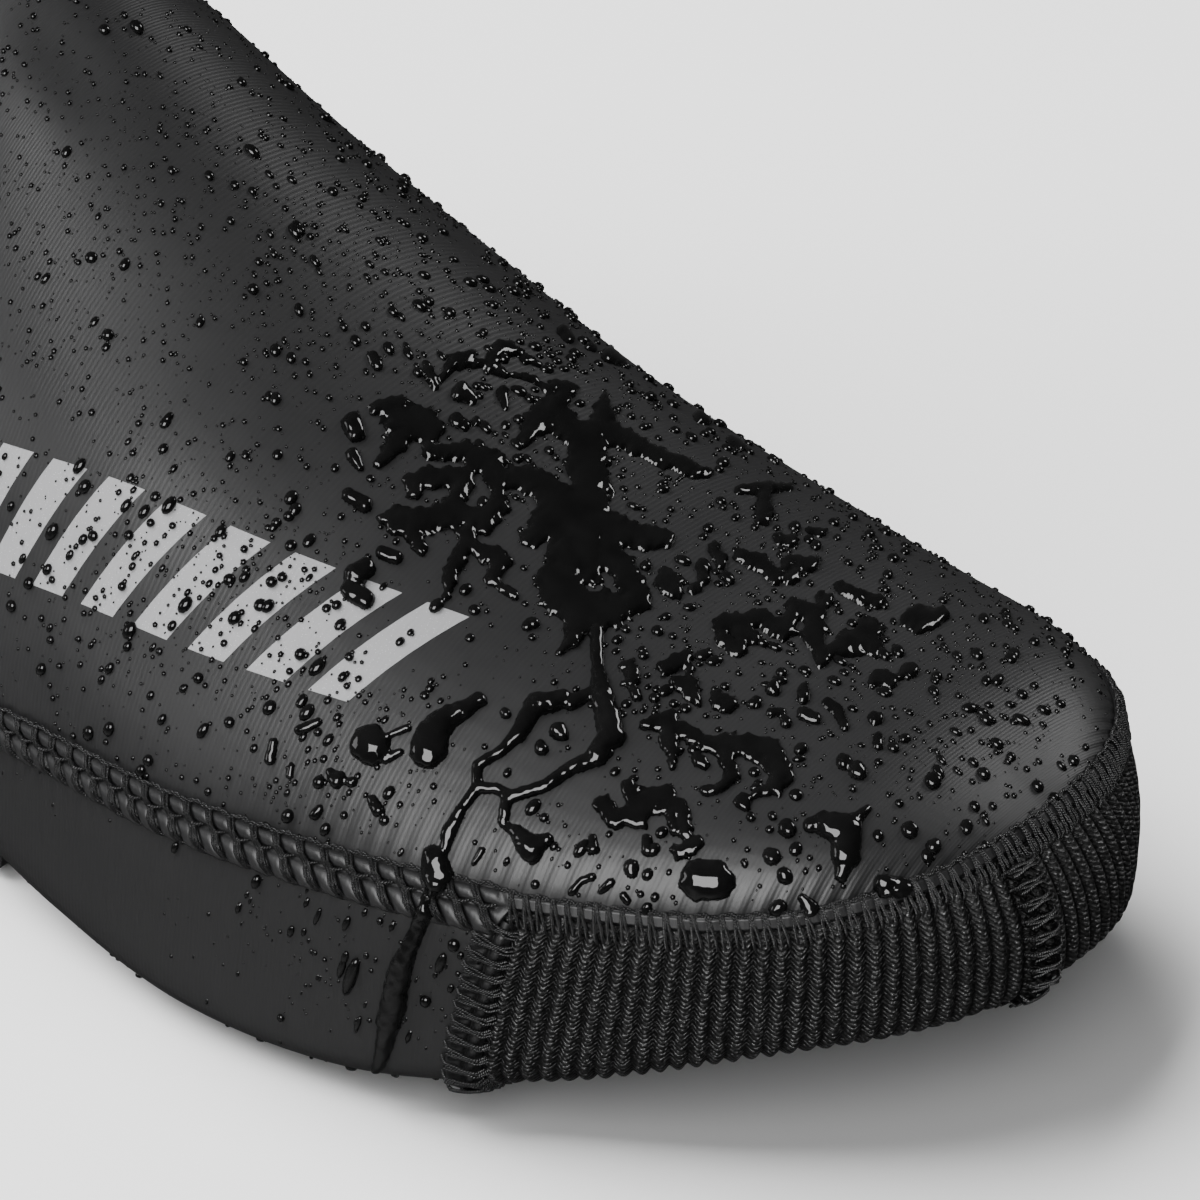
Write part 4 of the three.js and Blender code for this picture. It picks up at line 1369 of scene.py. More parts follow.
# The cord that all strands hang from: two plies round each other along the seam's upper edge
def buildCord(seam, name, sideShift, rise, sides=5):
    radius = seamLook["cordRadius"]
    up, normals = seam["up"], seam["normals"]
    sag = seamLook["cordSag"] * np.cos(2 * math.pi * seam["phase"])
    shift = sideShift * (1 - seam["smooth"]) + (seamLook["stripTop"] + 0.00015) * seam["smooth"]
    centre = seam["path"] + up * (shift + sag)[:, None] + normals * rise
    turn = 2 * math.pi * seam["arcs"] / seamLook["cordTwist"]
    a = np.linspace(0, 2 * math.pi, sides, endpoint=False)
    ring = np.cos(a)[None, :, None] * up[:, None] + np.sin(a)[None, :, None] * normals[:, None]
    grids = []
    for ply in (0, math.pi):
        swing = np.cos(turn + ply)[:, None] * up + np.sin(turn + ply)[:, None] * normals
        line = centre + radius * 0.8 * swing
        grids.append(line[:, None] + ring * radius)
    faces = gridFaces(len(centre), sides, seam["closed"], True)
    faces = np.concatenate([faces, faces + len(centre) * sides])
    obj = meshObject(name, np.concatenate(grids).reshape(-1, 3), faces, seamThread)
    setUv(obj, np.tile(seam["arcs"], 2), np.linspace(0, 1, sides, endpoint=False))
    evenFaces(obj)
    return finishPiece(obj, [])


# Pairs of strands of the front seam: across it and out of it
frontStitch = {
    "side": np.array([0.0024, 0.0018, 0.0011, 0.0005, -0.0002, -0.0010, -0.0018, -0.0024]),
    "rise": np.array([0.0010, 0.00118, 0.00120, 0.00108, 0.00085, 0.00075, 0.00045, -0.0004]),
    "spread": (0.00012, 0.00030),
    "lean": 0.18,
    "wobble": 0.0001,
}


def dressFrontSeam(seam, seed):
    look, pitch = frontStitch, seamLook["frontPitch"]
    arcs = np.arange(0.5 * pitch, seam["arcs"][-1], pitch)
    place, along, normals = placesOn(seam, arcs[smoothAt(seam, arcs) > 0.5])
    place = place + along * (look["wobble"] * np.sin(np.arange(len(place)) * 2.3))[:, None]
    side = look["side"]
    for index, spread in enumerate((-1, 1)):
        near, more = look["spread"]
        shift = spread * (near + more * smoothStep(-side, side[-1], 0.0010)) + look["lean"] * (side[0] - side)
        line = np.stack([shift, side, look["rise"]], -1)
        layStitches(f"frontSeamStrand{index + 1}", line, 0.9, (place, along, normals), 0.12, seed + index)


# Groups of three strands straight across a guard's end seam
endStitch = {
    "shifts": (-0.00036, 0.0, 0.00036),
    "low": -0.0025,
    "high": 0.0030,
    "stagger": 0.0003,
    "lean": 0.06,
    "wobble": 0.00014,
    "rise": 0.0012,
    "arch": 0.0004,
    "halfSpan": 0.0031,
    "dive": (0.0022, 0.0030),
}


def dressEndSeam(seam, name, seed):
    look = endStitch
    places = placesOn(seam, pitchArcs(seam, -0.5))
    for index, shift in enumerate(look["shifts"]):
        side = np.linspace(look["low"], look["high"], threadLook["steps"]) + look["stagger"] * (index - 1)
        rise = look["rise"] + look["arch"] * (1 - (side / look["halfSpan"]) ** 2)
        rise = rise - look["rise"] * smoothStep(np.abs(side), *look["dive"])
        bend = shift + look["wobble"] * np.sin(side * 1500 + 2 * index) + look["lean"] * side
        line = np.stack([bend, side, rise], -1)
        layStitches(f"{name}Strand{index + 1}", line, 0.85, places, 0.06, seed + index)


buildCord(sideSeam, "sideSeamCord", 0.0030, 0.00075)
dressRearSeam(sideSeam, "sideSeam", 11)
dressFrontSeam(sideSeam, 21)
dressEndSeam(guardSeams[0], "guardSeamOuter", 31)
dressEndSeam(guardSeams[1], "guardSeamInner", 41)
dressEndSeam(tipSeam, "toeTipSeam", 51)
dressRearSeam(heelSeam, "heelSeam", 61)
dressRearSeam(backSeam, "backSeam", 71)
print("threads laid")


# Collar hem: a folded edge round the rim, as height from the top and distance out
hemLook = {"height": 0.013, "insideDepth": 0.009, "around": 220, "reach": 0.035}
hemFold = [
    (-hemLook["height"] + 0.0004, 0.0002), (-hemLook["height"], 0.0009),
    (-hemLook["height"] + 0.0006, 0.0013), (-0.0106, 0.0014), (-0.0096, 0.0011), (-0.0086, 0.0014),
    (-0.0060, 0.0015), (-0.0030, 0.0014), (-0.0010, 0.0012), (-0.0002, 0.0004), (0.0002, -0.0008),
    (0.0002, -0.0024), (-0.0006, -0.0034), (-0.0030, -0.0038), (-hemLook["insideDepth"], -0.0038),
    (-hemLook["insideDepth"] - 0.0004, -0.0031),
]


def buildHem():
    angles = np.linspace(0, 2 * math.pi, hemLook["around"], endpoint=False)
    travels = np.linspace(travelEnd - hemLook["reach"], travelEnd, 90)
    columns = np.stack([shellPoint(travels, a) for a in angles])
    centre = np.array([columns[:, -1, 0].mean(), middleY, 0])
    grid = []
    for column in columns:
        rim = column[-1]
        out = unit((rim - centre) * [1, 1, 0])
        for drop, offset in hemFold:
            z = shell["collarHeight"] + drop
            base = np.array([np.interp(min(z, rim[2]), column[:, 2], column[:, k]) for k in range(2)] + [z])
            grid.append(base + out * offset)
    grid = np.array(grid).reshape(len(angles), len(hemFold), 3)
    obj = gridObject("collarHem", grid, coatedPlain, np.linspace(0, 0.25, len(angles)), arcLengths(grid),
                     closeRows=True)
    setAttribute(obj, "seamDistance", np.full(len(obj.data.vertices), 1.0))
    smooth = obj.modifiers.new("round", "SUBSURF")
    smooth.levels = 1
    smooth.render_levels = 1
    evenFaces(obj)
    return finishPiece(obj, ["collar_hem"])


buildHem()


# Sole: a thin woven panel with bound openings (from the toe, long, wide), and the strap under the arch
soleLook = {
    "spacing": 0.0035,
    "wallShare": 0.8,
    "openings": {"cleat": (0.096, 0.070, 0.060), "heelPad": (0.252, 0.044, 0.038)},
    "squareness": 3.2,
    "bindingWidth": 0.0015,
    "bindingHeight": 0.0019,
    "bindingLift": 0.0012,
    "strapFromToe": 0.138,
    "strapWidth": 0.046,
    "strapDrop": 0.0025,
    "strapInset": 0.005,
}


# One value of the foot's sections by the keel's place along the floor: 3 is its height, 6 its swing
def keelValue(x, which, count):
    section = closedSection(np.linspace(0, heelBackTravel, count))
    return np.interp(-np.asarray(x), -section[2], section[which])


def soleUnderside(x):
    return np.maximum(0, keelValue(x, 3, 2500) - shell["soleProud"])


def openingRings():
    rings = []
    a = np.linspace(0, 2 * math.pi, 72, endpoint=False)
    round2 = np.stack([np.cos(a), np.sin(a)], -1)
    round2 = np.sign(round2) * np.abs(round2) ** (2 / soleLook["squareness"])
    for fromToe, long, wide in soleLook["openings"].values():
        x = toeX - fromToe
        rings.append([x, keelValue(x, 6, 900) + middleY] + np.array([long, wide]) / 2 * round2)
    return rings


def insideRing(points, ring, scale):
    half = (ring.max(axis=0) - ring.min(axis=0)) / 2 * scale
    share = np.abs((points - ring.mean(axis=0)) / half) ** soleLook["squareness"]
    return share.sum(axis=1) < 1


def buildSole():
    xs = soleBack + (soleFront - soleBack) * (1 - np.cos(np.linspace(0, math.pi, 130))) / 2
    outer, inner = soleLimits(xs)
    ok = outer < inner
    outline = np.concatenate([np.stack([xs[ok], outer[ok]], -1), np.stack([xs[ok], inner[ok]], -1)[::-1]])
    holes = openingRings()
    edges, start = [], 0
    for ring in [outline] + holes:
        n = len(ring)
        edges += [(start + i, start + (i + 1) % n) for i in range(n)]
        start += n
    gx, gy = np.meshgrid(np.arange(soleBack, soleFront, soleLook["spacing"]),
                         np.arange(-0.05, 0.055, soleLook["spacing"]))
    inside = np.stack([gx.ravel(), gy.ravel()], -1)
    low, high = soleLimits(inside[:, 0])
    inside = inside[(inside[:, 1] > low + 0.001) & (inside[:, 1] < high - 0.001)]
    for ring in holes:
        inside = inside[~insideRing(inside, ring, 1.03)]
    verts = [Vector(p) for p in np.concatenate([outline] + holes + [inside])]
    flat = geometry.delaunay_2d_cdt(verts, edges, [], 1, 1e-6)
    points = np.array([v[:] for v in flat[0]])
    faces = []
    for face in flat[2]:
        middle = points[list(face)].mean(axis=0)[None]
        if not any(insideRing(middle, ring, 1.0)[0] for ring in holes):
            faces.append(face)
    points = np.column_stack([points, soleUnderside(points[:, 0])])
    obj = meshObject("solePanel", points, faces, soleFabric)
    faceAlong(obj, np.array([0, 0, -1]))
    return finishPiece(obj, ["sole"], shell["soleThickness"] * soleLook["wallShare"])


def buildBinding(name, ring):
    closed = np.vstack([ring, ring[:1]])
    spine = np.column_stack([closed, soleUnderside(closed[:, 0]) + soleLook["bindingLift"]])
    path = evenPath(spine, 0.0012)[:-1]
    along = unit(np.roll(path, -1, 0) - np.roll(path, 1, 0))
    side = np.cross(along, [0, 0, 1.0])
    a = np.linspace(0, 2 * math.pi, 10, endpoint=False)
    grid = path[:, None] + side[:, None] * (np.cos(a) * soleLook["bindingWidth"])[None, :, None]
    grid[..., 2] += np.sin(a) * soleLook["bindingHeight"]
    grid[..., 2] = np.maximum(grid[..., 2], 0)
    obj = gridObject(name, grid, bindingFabric, closeRows=True, closeColumns=True)
    evenFaces(obj)
    return finishPiece(obj, [])


def buildStrap():
    limits, low, high = undersideLimits(lambda x: np.full_like(x, soleLook["strapInset"]))
    front = toeX - soleLook["strapFromToe"]
    xs = np.linspace(front - soleLook["strapWidth"], front, 40)
    outer, inner = limits(xs)
    y = outer[:, None] + (inner - outer)[:, None] * np.linspace(0, 1, 60)
    x = np.repeat(xs[:, None], 60, 1)
    obj = gridObject("archStrap", np.stack([x, y, soleUnderside(x) - soleLook["strapDrop"]], -1), loopFabric)
    faceAlong(obj, np.array([0, 0, -1]))
    return finishPiece(obj, ["arch_strap"], 0.002, 0.0004)


buildSole()
for opening, ring in zip(soleLook["openings"], openingRings()):
    buildBinding(opening + "Binding", ring)
buildStrap()
print("sole, strap and hem built")


# Water: puddles and runs, listed as pixels of the photograph: x, y, radius, x, y, radius
puddles = {
    "besideInstep": [
        (398, 420, 14, 425, 425, 15), (375, 408, 6, 400, 405, 8), (400, 440, 10, 388, 452, 8),
        (388, 452, 7, 377, 465, 4), (425, 425, 14, 444, 431, 3), (427, 374, 6, 437, 388, 3),
    ],
    "topRun": [
        (440, 383, 2, 452, 365, 6), (452, 365, 7, 468, 358, 7), (468, 362, 4, 490, 368, 4),
        (490, 368, 5, 499, 350, 7), (499, 348, 7, 520, 352, 4), (492, 366, 4, 505, 374, 4),
        (505, 374, 3, 530, 378, 3), (530, 378, 3, 545, 388, 3), (545, 388, 4, 566, 390, 8),
        (524, 358, 4, 540, 366, 3),
    ],
    "leftNet": [
        (430, 452, 7, 465, 452, 8), (465, 452, 8, 490, 465, 12), (490, 465, 11, 497, 480, 8),
        (412, 480, 6, 430, 478, 9), (430, 478, 9, 465, 478, 10), (412, 480, 7, 415, 493, 7),
        (462, 478, 8, 455, 500, 8), (497, 480, 7, 500, 505, 8), (500, 505, 8, 484, 522, 9),
        (484, 524, 9, 455, 512, 13), (455, 512, 12, 430, 520, 10), (430, 520, 10, 400, 522, 12),
        (400, 522, 12, 383, 520, 5), (410, 530, 8, 421, 550, 6), (470, 525, 8, 466, 545, 6),
        (466, 545, 7, 452, 570, 8), (452, 570, 7, 446, 598, 4), (466, 545, 6, 500, 560, 9),
        (500, 560, 9, 492, 578, 6), (492, 582, 4, 515, 598, 4),
    ],
    "middle": [
        (566, 392, 7, 552, 410, 9), (552, 412, 9, 537, 424, 11), (537, 424, 9, 526, 440, 6),
        (552, 412, 8, 580, 440, 10), (605, 391, 1.5, 603, 418, 8), (603, 418, 9, 590, 445, 12),
        (600, 430, 10, 625, 440, 8), (625, 440, 8, 655, 455, 6), (655, 455, 6, 690, 470, 6),
        (690, 470, 5, 708, 474, 4), (588, 445, 13, 588, 480, 14), (592, 480, 13, 588, 505, 14),
        (500, 480, 7, 528, 477, 8), (528, 478, 9, 553, 497, 11), (553, 499, 12, 580, 514, 14),
        (560, 522, 18, 585, 530, 22), (545, 525, 12, 534, 535, 9), (585, 530, 22, 586, 555, 18),
        (600, 530, 14, 630, 535, 10), (630, 535, 9, 662, 540, 8), (568, 560, 15, 560, 590, 16),
        (608, 552, 11, 625, 575, 11), (625, 575, 11, 640, 594, 8), (560, 592, 16, 580, 608, 17),
        (580, 608, 17, 610, 614, 13), (610, 614, 11, 640, 598, 9), (580, 622, 12, 573, 640, 6),
    ],
    "runs": [
        (596, 632, 5, 598, 672, 4), (598, 672, 5, 603, 700, 8), (603, 700, 8, 612, 735, 9),
        (610, 735, 8, 595, 758, 7), (595, 758, 6, 572, 768, 5), (572, 768, 5, 545, 786, 4.5),
        (545, 786, 4.5, 512, 797, 4.5), (512, 797, 4, 497, 789, 4), (497, 789, 4, 479, 788, 4),
        (573, 640, 5, 560, 652, 3), (562, 700, 6, 535, 706, 8), (535, 705, 7, 518, 735, 6),
        (518, 735, 5, 500, 752, 4), (500, 752, 4, 478, 765, 4), (478, 765, 4, 477, 786, 4),
        (477, 788, 4, 462, 808, 4), (462, 808, 4, 449, 832, 5), (449, 832, 5, 445, 848, 4),
        (507, 797, 4, 503, 820, 4), (503, 824, 3, 517, 832, 4), (517, 832, 5, 530, 848, 9),
        (530, 848, 8, 546, 840, 5), (480, 700, 5, 450, 718, 7), (448, 716, 7, 432, 735, 11),
        (432, 737, 11, 428, 750, 12), (596, 690, 4, 570, 704, 5),
    ],
    "vampDrops": [
        (665, 668, 8, 685, 660, 8), (685, 660, 8, 690, 670, 5), (675, 682, 6, 690, 690, 9),
        (690, 690, 9, 698, 700, 5), (630, 668, 8, 632, 680, 6), (622, 683, 3, 636, 683, 5),
        (636, 693, 6, 637, 694, 6), (718, 702, 9, 728, 704, 9), (645, 725, 5, 668, 722, 10),
        (668, 725, 10, 672, 750, 8), (672, 750, 7, 673, 768, 3), (680, 730, 8, 705, 745, 7),
        (705, 745, 8, 740, 745, 10), (740, 745, 10, 770, 752, 11), (770, 752, 11, 782, 772, 10),
        (782, 772, 10, 775, 788, 8), (775, 788, 6, 755, 795, 4), (725, 750, 9, 732, 775, 7),
        (732, 775, 7, 718, 788, 5), (718, 788, 5, 705, 792, 5), (699, 760, 7, 702, 762, 7),
        (742, 800, 8, 743, 801, 8), (605, 805, 9, 615, 820, 9), (615, 820, 9, 640, 815, 11),
        (628, 785, 7, 635, 800, 9), (640, 802, 11, 665, 798, 11), (665, 798, 11, 682, 815, 8),
        (682, 815, 8, 688, 838, 6), (678, 852, 7, 695, 845, 8), (672, 813, 5, 674, 830, 5),
        (668, 582, 11, 675, 590, 9), (715, 550, 7, 722, 565, 5), (700, 568, 5, 705, 580, 6),
        (692, 590, 5, 702, 585, 4), (742, 558, 7, 758, 562, 8), (758, 562, 8, 775, 578, 7),
        (788, 565, 7, 812, 565, 7), (795, 576, 6, 790, 580, 6), (738, 490, 4, 760, 490, 6),
        (760, 490, 6, 788, 488, 4), (765, 492, 7, 763, 520, 7), (778, 540, 5, 794, 542, 5),
        (808, 530, 3, 824, 533, 4), (838, 588, 5, 860, 598, 6), (860, 598, 6, 878, 603, 6),
        (820, 598, 5, 828, 600, 5), (722, 625, 9, 760, 620, 9), (722, 640, 6, 740, 648, 8),
        (760, 620, 9, 785, 632, 9), (785, 632, 9, 795, 610, 9), (795, 610, 10, 815, 615, 11),
        (815, 615, 11, 815, 640, 10), (815, 640, 9, 822, 660, 7), (740, 634, 9, 755, 638, 6),
        (822, 653, 7, 845, 648, 8), (845, 645, 10, 866, 638, 17), (915, 620, 12, 940, 618, 8),
        (877, 680, 8, 888, 680, 8), (888, 680, 4, 905, 675, 4), (907, 672, 7, 914, 672, 6),
    ],
    "toeDrops": [
        (700, 880, 20, 714, 881, 20), (593, 838, 5, 593, 848, 7), (647, 840, 6, 648, 850, 7),
        (632, 867, 8, 631, 872, 7), (572, 892, 5, 582, 880, 4), (582, 880, 4, 592, 877, 5),
        (600, 892, 4, 611, 882, 5), (624, 896, 5, 627, 901, 5), (645, 911, 5, 648, 906, 5),
        (744, 862, 4, 745, 865, 4), (810, 826, 8, 825, 822, 9), (825, 824, 12, 845, 832, 17),
        (845, 832, 16, 846, 856, 14), (846, 856, 12, 841, 876, 7), (855, 820, 8, 868, 808, 4),
        (786, 828, 9, 787, 830, 9), (908, 830, 8, 910, 831, 8), (933, 846, 8, 933, 847, 8),
        (932, 781, 8, 933, 782, 8), (966, 825, 6, 966, 829, 6), (885, 886, 12, 900, 888, 11),
        (771, 856, 9, 772, 857, 9), (784, 874, 8, 785, 877, 8), (776, 909, 8, 779, 907, 8),
        (802, 898, 5, 810, 908, 9), (843, 763, 8, 846, 763, 7), (857, 771, 9, 860, 773, 8),
        (878, 739, 6, 878, 745, 6), (904, 739, 5, 906, 739, 5), (874, 719, 7, 878, 719, 6),
        (803, 714, 7, 816, 720, 6), (803, 690, 6, 803, 698, 7), (773, 689, 8, 774, 690, 7),
        (756, 702, 6, 757, 703, 6), (826, 702, 5, 838, 712, 6), (838, 712, 6, 845, 727, 5),
        (799, 750, 6, 802, 749, 6), (785, 722, 6, 786, 723, 6), (771, 713, 5, 783, 712, 4),
        (750, 817, 5, 751, 818, 5), (772, 816, 5, 773, 817, 5), (852, 788, 4, 853, 789, 4),
    ],
    "leftDrops": [
        (505, 713, 5, 506, 715, 5), (541, 747, 6, 542, 749, 6), (559, 732, 8, 561, 734, 7),
        (507, 774, 4, 508, 772, 4), (474, 863, 3, 482, 850, 3.5), (505, 864, 2.5, 508, 860, 3),
        (352, 423, 9, 356, 434, 8), (460, 393, 8, 473, 400, 5), (455, 420, 6, 465, 426, 5),
        (502, 393, 6, 506, 408, 3), (505, 425, 4, 507, 426, 4), (476, 421, 4, 477, 423, 4),
        (382, 553, 6, 396, 558, 6), (355, 575, 10, 365, 570, 9), (350, 590, 8, 365, 600, 8),
        (348, 495, 6, 365, 505, 7), (352, 455, 6, 360, 468, 4), (372, 356, 5, 378, 366, 5),
        (370, 744, 16, 372, 746, 15), (318, 722, 4, 300, 730, 5), (300, 705, 4, 304, 698, 4),
        (330, 772, 4, 336, 780, 7), (336, 780, 7, 340, 776, 5), (390, 735, 3, 408, 728, 4),
        (385, 760, 4, 400, 752, 4), (372, 800, 5, 378, 810, 6), (290, 775, 4, 292, 765, 3),
        (270, 760, 5, 274, 742, 4), (315, 815, 5, 320, 808, 4), (352, 783, 5, 354, 781, 4),
        (562, 331, 5, 570, 340, 4), (608, 355, 6, 622, 361, 5), (700, 416, 6, 707, 420, 5),
        (730, 440, 4, 742, 447, 4), (588, 346, 4, 594, 349, 3), (652, 378, 3, 660, 382, 3),
    ],
    "seamDrop": [(434, 857, 13, 438, 876, 17), (436, 884, 12, 430, 900, 8)],
}

panelRuns = [
    (430, 900, 10, 414, 938, 9), (414, 938, 9, 402, 965, 12), (400, 972, 13, 390, 1020, 14),
    (390, 1020, 13, 381, 1060, 8), (380, 1062, 7, 376, 1074, 8),
]

# How water stands: cell and margin in pixels, swelling of each group, slopes, edges and heights
waterLook = {
    "cell": 1.85,
    "margin": 30,
    "swell": {"middle": 1.55, "leftNet": 1.35, "vampDrops": 1.25, "besideInstep": 1.35, "topRun": 1.35,
              "runs": 1.65, "leftDrops": 1.3, "toeDrops": 1.1},
    "smoothOnes": ("runs", "toeDrops", "leftDrops", "seamDrop"),
    "smoothRaggedness": 0.45,
    "runRaggedness": 0.5,
    "raggedness": 1.3,
    "steepness": 0.92,
    "deepest": 6.5,
    "deepestDrop": 13.0,
    "blend": 0.30,
    "lobes": 0.18,
    "pixelsPerMetre": 7900,
    "sunk": 0.00006,
}


def wetTreeOf(objects):
    points, faces, start = [], [], 0
    for obj in objects:
        points.append(vertexArrays(obj)[0])
        faces += [[v + start for v in face.vertices] for face in obj.data.polygons]
        start += len(points[-1])
    return BVHTree.FromPolygons(np.concatenate(points).tolist(), faces)


seamBodies = [bpy.data.objects[name] for name in ("sideSeam", "guardSeamOuter", "heelSeam", "backSeam")]
wetTree = wetTreeOf([upperSkin, outerPanel, innerPanel] + seamBodies)


def wetHit(px, py):
    hit = wetTree.ray_cast(Vector(viewPoint), Vector(photoRay(px, py)).normalized())
    if hit[0] is None:
        hit = shellTree.find_nearest(Vector(viewPoint + 0.7 * photoRay(px, py)))
    return np.array(hit[0])


# Squared height of the water over pixels: drops that flow together, with wandering edges
def waterField(x, y, drops, ragged):
    deepest = waterLook["deepest"] if ragged > 0.5 else waterLook["deepestDrop"]
    wave = np.sin(x * 0.61 + 2 * np.sin(y * 0.23)) + np.sin(y * 0.71 + 1.5 * np.sin(x * 0.31 + 1))
    fine = np.sin(x * 1.43 + y * 0.67) + np.sin(y * 1.57 - x * 0.83 + 2)
    x = x + ragged * (0.45 * wave + 0.20 * fine)
    y = y + ragged * (0.45 * np.sin(x * 0.53 + y * 0.37) + 0.25 * np.sin(y * 1.1 + x * 1.3))
    lobes = np.sin(x * 0.21 + 2.2 * np.sin(y * 0.11 + 1)) + np.sin(y * 0.25 + 2.0 * np.sin(x * 0.13))
    lobes += 0.6 * np.sin(x * 0.47 + 1.7 * np.sin(y * 0.37)) + 0.6 * np.sin(y * 0.52 - 1.5 * np.sin(x * 0.31))
    total = np.zeros_like(x)
    for x0, y0, r0, x1, y1, r1 in drops:
        run = np.array([x1 - x0, y1 - y0], float)
        share = np.clip(((x - x0) * run[0] + (y - y0) * run[1]) / (run @ run), 0, 1)
        radius = (r0 + (r1 - r0) * share) * (1 + waterLook["lobes"] * ragged * lobes / 2)
        away = (x - x0 - share * run[0]) ** 2 + (y - y0 - share * run[1]) ** 2
        height = np.minimum(radius * waterLook["steepness"], deepest)
        level = height**2 * (1 - away / radius**2)
        total += np.exp(np.clip(waterLook["blend"] * level, -40, 400))
    return np.log(np.maximum(total, 1e-12)) / waterLook["blend"]


# Cells of a field that is above zero, cut along its edge
def contourCells(field):
    inside = field > 0
    spots, index = [], {}

    def vertex(key, x, y):
        if key not in index:
            index[key] = len(spots)
            spots.append((x, y))
        return index[key]

    faces = []
    touched = inside[:-1, :-1] | inside[1:, :-1] | inside[:-1, 1:] | inside[1:, 1:]
    for r, c in zip(*np.nonzero(touched)):
        corners = [(r, c), (r, c + 1), (r + 1, c + 1), (r + 1, c)]
        ring = []
        for k in range(4):
            a, b = corners[k], corners[(k + 1) % 4]
            if inside[a]:
                ring.append(vertex(a, a[1], a[0]))
            if inside[a] != inside[b]:
                t = field[a] / (field[a] - field[b])
                key = (min(a, b), max(a, b))
                ring.append(vertex(key, a[1] + (b[1] - a[1]) * t, a[0] + (b[0] - a[0]) * t))
        if len(ring) > 2:
            faces.append(tuple(ring))
    return np.array(spots, float), faces


def buildPuddles(name, drops, ragged):
    cell, margin = waterLook["cell"], waterLook["margin"]
    table = np.array(drops)
    axes = []
    for k in range(2):
        ends = table[:, [k, k + 3]]
        axes.append(np.arange(ends.min() - margin, ends.max() + margin, cell))
    spots, faces = contourCells(waterField(*np.meshgrid(*axes), drops, ragged))
    px, py = [axis[0] + spots[:, k] * cell for k, axis in enumerate(axes)]
    points = np.array([wetHit(x, y) for x, y in zip(px, py)])
    normals = np.array([shellTree.find_nearest(Vector(p))[1][:] for p in points])
    height = np.sqrt(np.maximum(waterField(px, py, drops, ragged), 0)) / waterLook["pixelsPerMetre"]
    obj = meshObject(name, points, faces, water)
    normals = unit(smoothOver(obj, normals, 12))
    rim = height < 1e-5
    points = np.where(rim[:, None], points, smoothOver(obj, points, 6))
    lift = np.where(rim, -waterLook["sunk"], height)
    moveVertices(obj, points + normals * lift[:, None])
    faceAlong(obj, normals)
    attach(obj, "root")
    return obj


puddleDrops, smoothDrops = [], []
for name, drops in puddles.items():
    swell = waterLook["swell"].get(name, 1.0)
    kind = smoothDrops if name in waterLook["smoothOnes"] else puddleDrops
    kind += [(x0, y0, r0 * swell, x1, y1, r1 * swell) for x0, y0, r0, x1, y1, r1 in drops]
puddleSkin = buildPuddles("waterPuddles", puddleDrops, waterLook["raggedness"])
buildPuddles("waterDrops", smoothDrops, waterLook["smoothRaggedness"])
buildPuddles("waterRunOnPanel", panelRuns, waterLook["runRaggedness"])
print("puddles:", len(puddleSkin.data.polygons), "faces")


# Beads: a low dome scattered over the wet skin by geometry nodes, its long axis down the slope
def beadShape(sides, profile):
    a = np.linspace(0, 2 * math.pi, sides, endpoint=False)
    rows = [np.stack([radius * np.cos(a), radius * np.sin(a), np.full(sides, height)], -1)
            for radius, height in profile[:-1]]
    points = np.concatenate(rows + [np.array([[0, 0, profile[-1][1]]])])
    faces = gridFaces(len(rows), sides, False, True).tolist()
    last = (len(rows) - 1) * sides
    faces += [(last + k, last + (k + 1) % sides, len(points) - 1) for k in range(sides)]
    return meshObject("bead", points, faces, water)


def makeBeadNodes():
    tree, given, result = newGroup(
        "scatterBeads", "GeometryNodeTree",
        [("Skin", "Geometry", None), ("Bead", "Object", None), ("Per Square Metre", "Float", 1e5),
         ("Smallest", "Float", 0.0002), ("Largest", "Float", 0.0006), ("Rarity", "Float", 2.0),
         ("Stretch", "Float", 0.4), ("Seed", "Int", 5), ("Material", "Material", None)],
        [("Beads", "Geometry")])
    density = times(tree, namedAttribute(tree, "wetness", "FLOAT"), given["Per Square Metre"])
    places = addNode(tree, "GeometryNodeDistributePointsOnFaces", {
        "Mesh": given["Skin"], "Density": density, "Seed": given["Seed"]}).outputs
    first, second, third = [randomValue(tree, plus(tree, given["Seed"], step)) for step in (1.0, 2.0, 3.0)]
    share = mathNode(tree, "POWER", first, given["Rarity"])
    span = mathNode(tree, "SUBTRACT", given["Largest"], given["Smallest"])
    size = plus(tree, given["Smallest"], times(tree, share, span))
    stretch = times(tree, mathNode(tree, "POWER", second, 2.0), given["Stretch"])
    long = times(tree, size, plus(tree, 1.0, stretch))
    tall = times(tree, size, plus(tree, 0.75, times(tree, third, 0.3)))
    layShapes(tree, given, result, "Bead", places["Points"], places["Normal"],
              namedAttribute(tree, "down", "FLOAT_VECTOR"), (long, size, tall))
    return tree


beadNodes = makeBeadNodes()

# Where beads lie thick: a pixel of the photograph, its reach, fine beads and larger beads
wetSpots = {
    "leg": (120, 200, 230, 0.9, 0.20),
    "instep": (330, 260, 190, 1.0, 0.55),
    "vamp": (520, 400, 170, 1.0, 1.0),
    "outerSide": (200, 560, 190, 0.9, 0.55),
    "middle": (700, 600, 200, 0.9, 1.0),
    "toeTop": (930, 680, 160, 0.9, 0.7),
    "toe": (850, 820, 150, 0.5, 0.5),
    "aboveSeam": (330, 760, 130, 0.8, 0.8),
    "toeLeft": (600, 880, 120, 0.5, 0.45),
    "panel": (330, 900, 110, 0.45, 0.15),
    "panelFront": (430, 960, 70, 0.5, 0.2),
}

# Beads elsewhere, and how far they keep from puddles (field), frame (pixels), seams and collar (metres)
beadLook = {
    "hidden": (0.15, 0.09),
    "besidePuddles": -14,
    "pastFrame": 60,
    "besideSeam": 0.002,
    "belowCollar": 0.015,
    "slope": (-0.30, 0, -1.0),
    "panelStreak": 5.0,
}

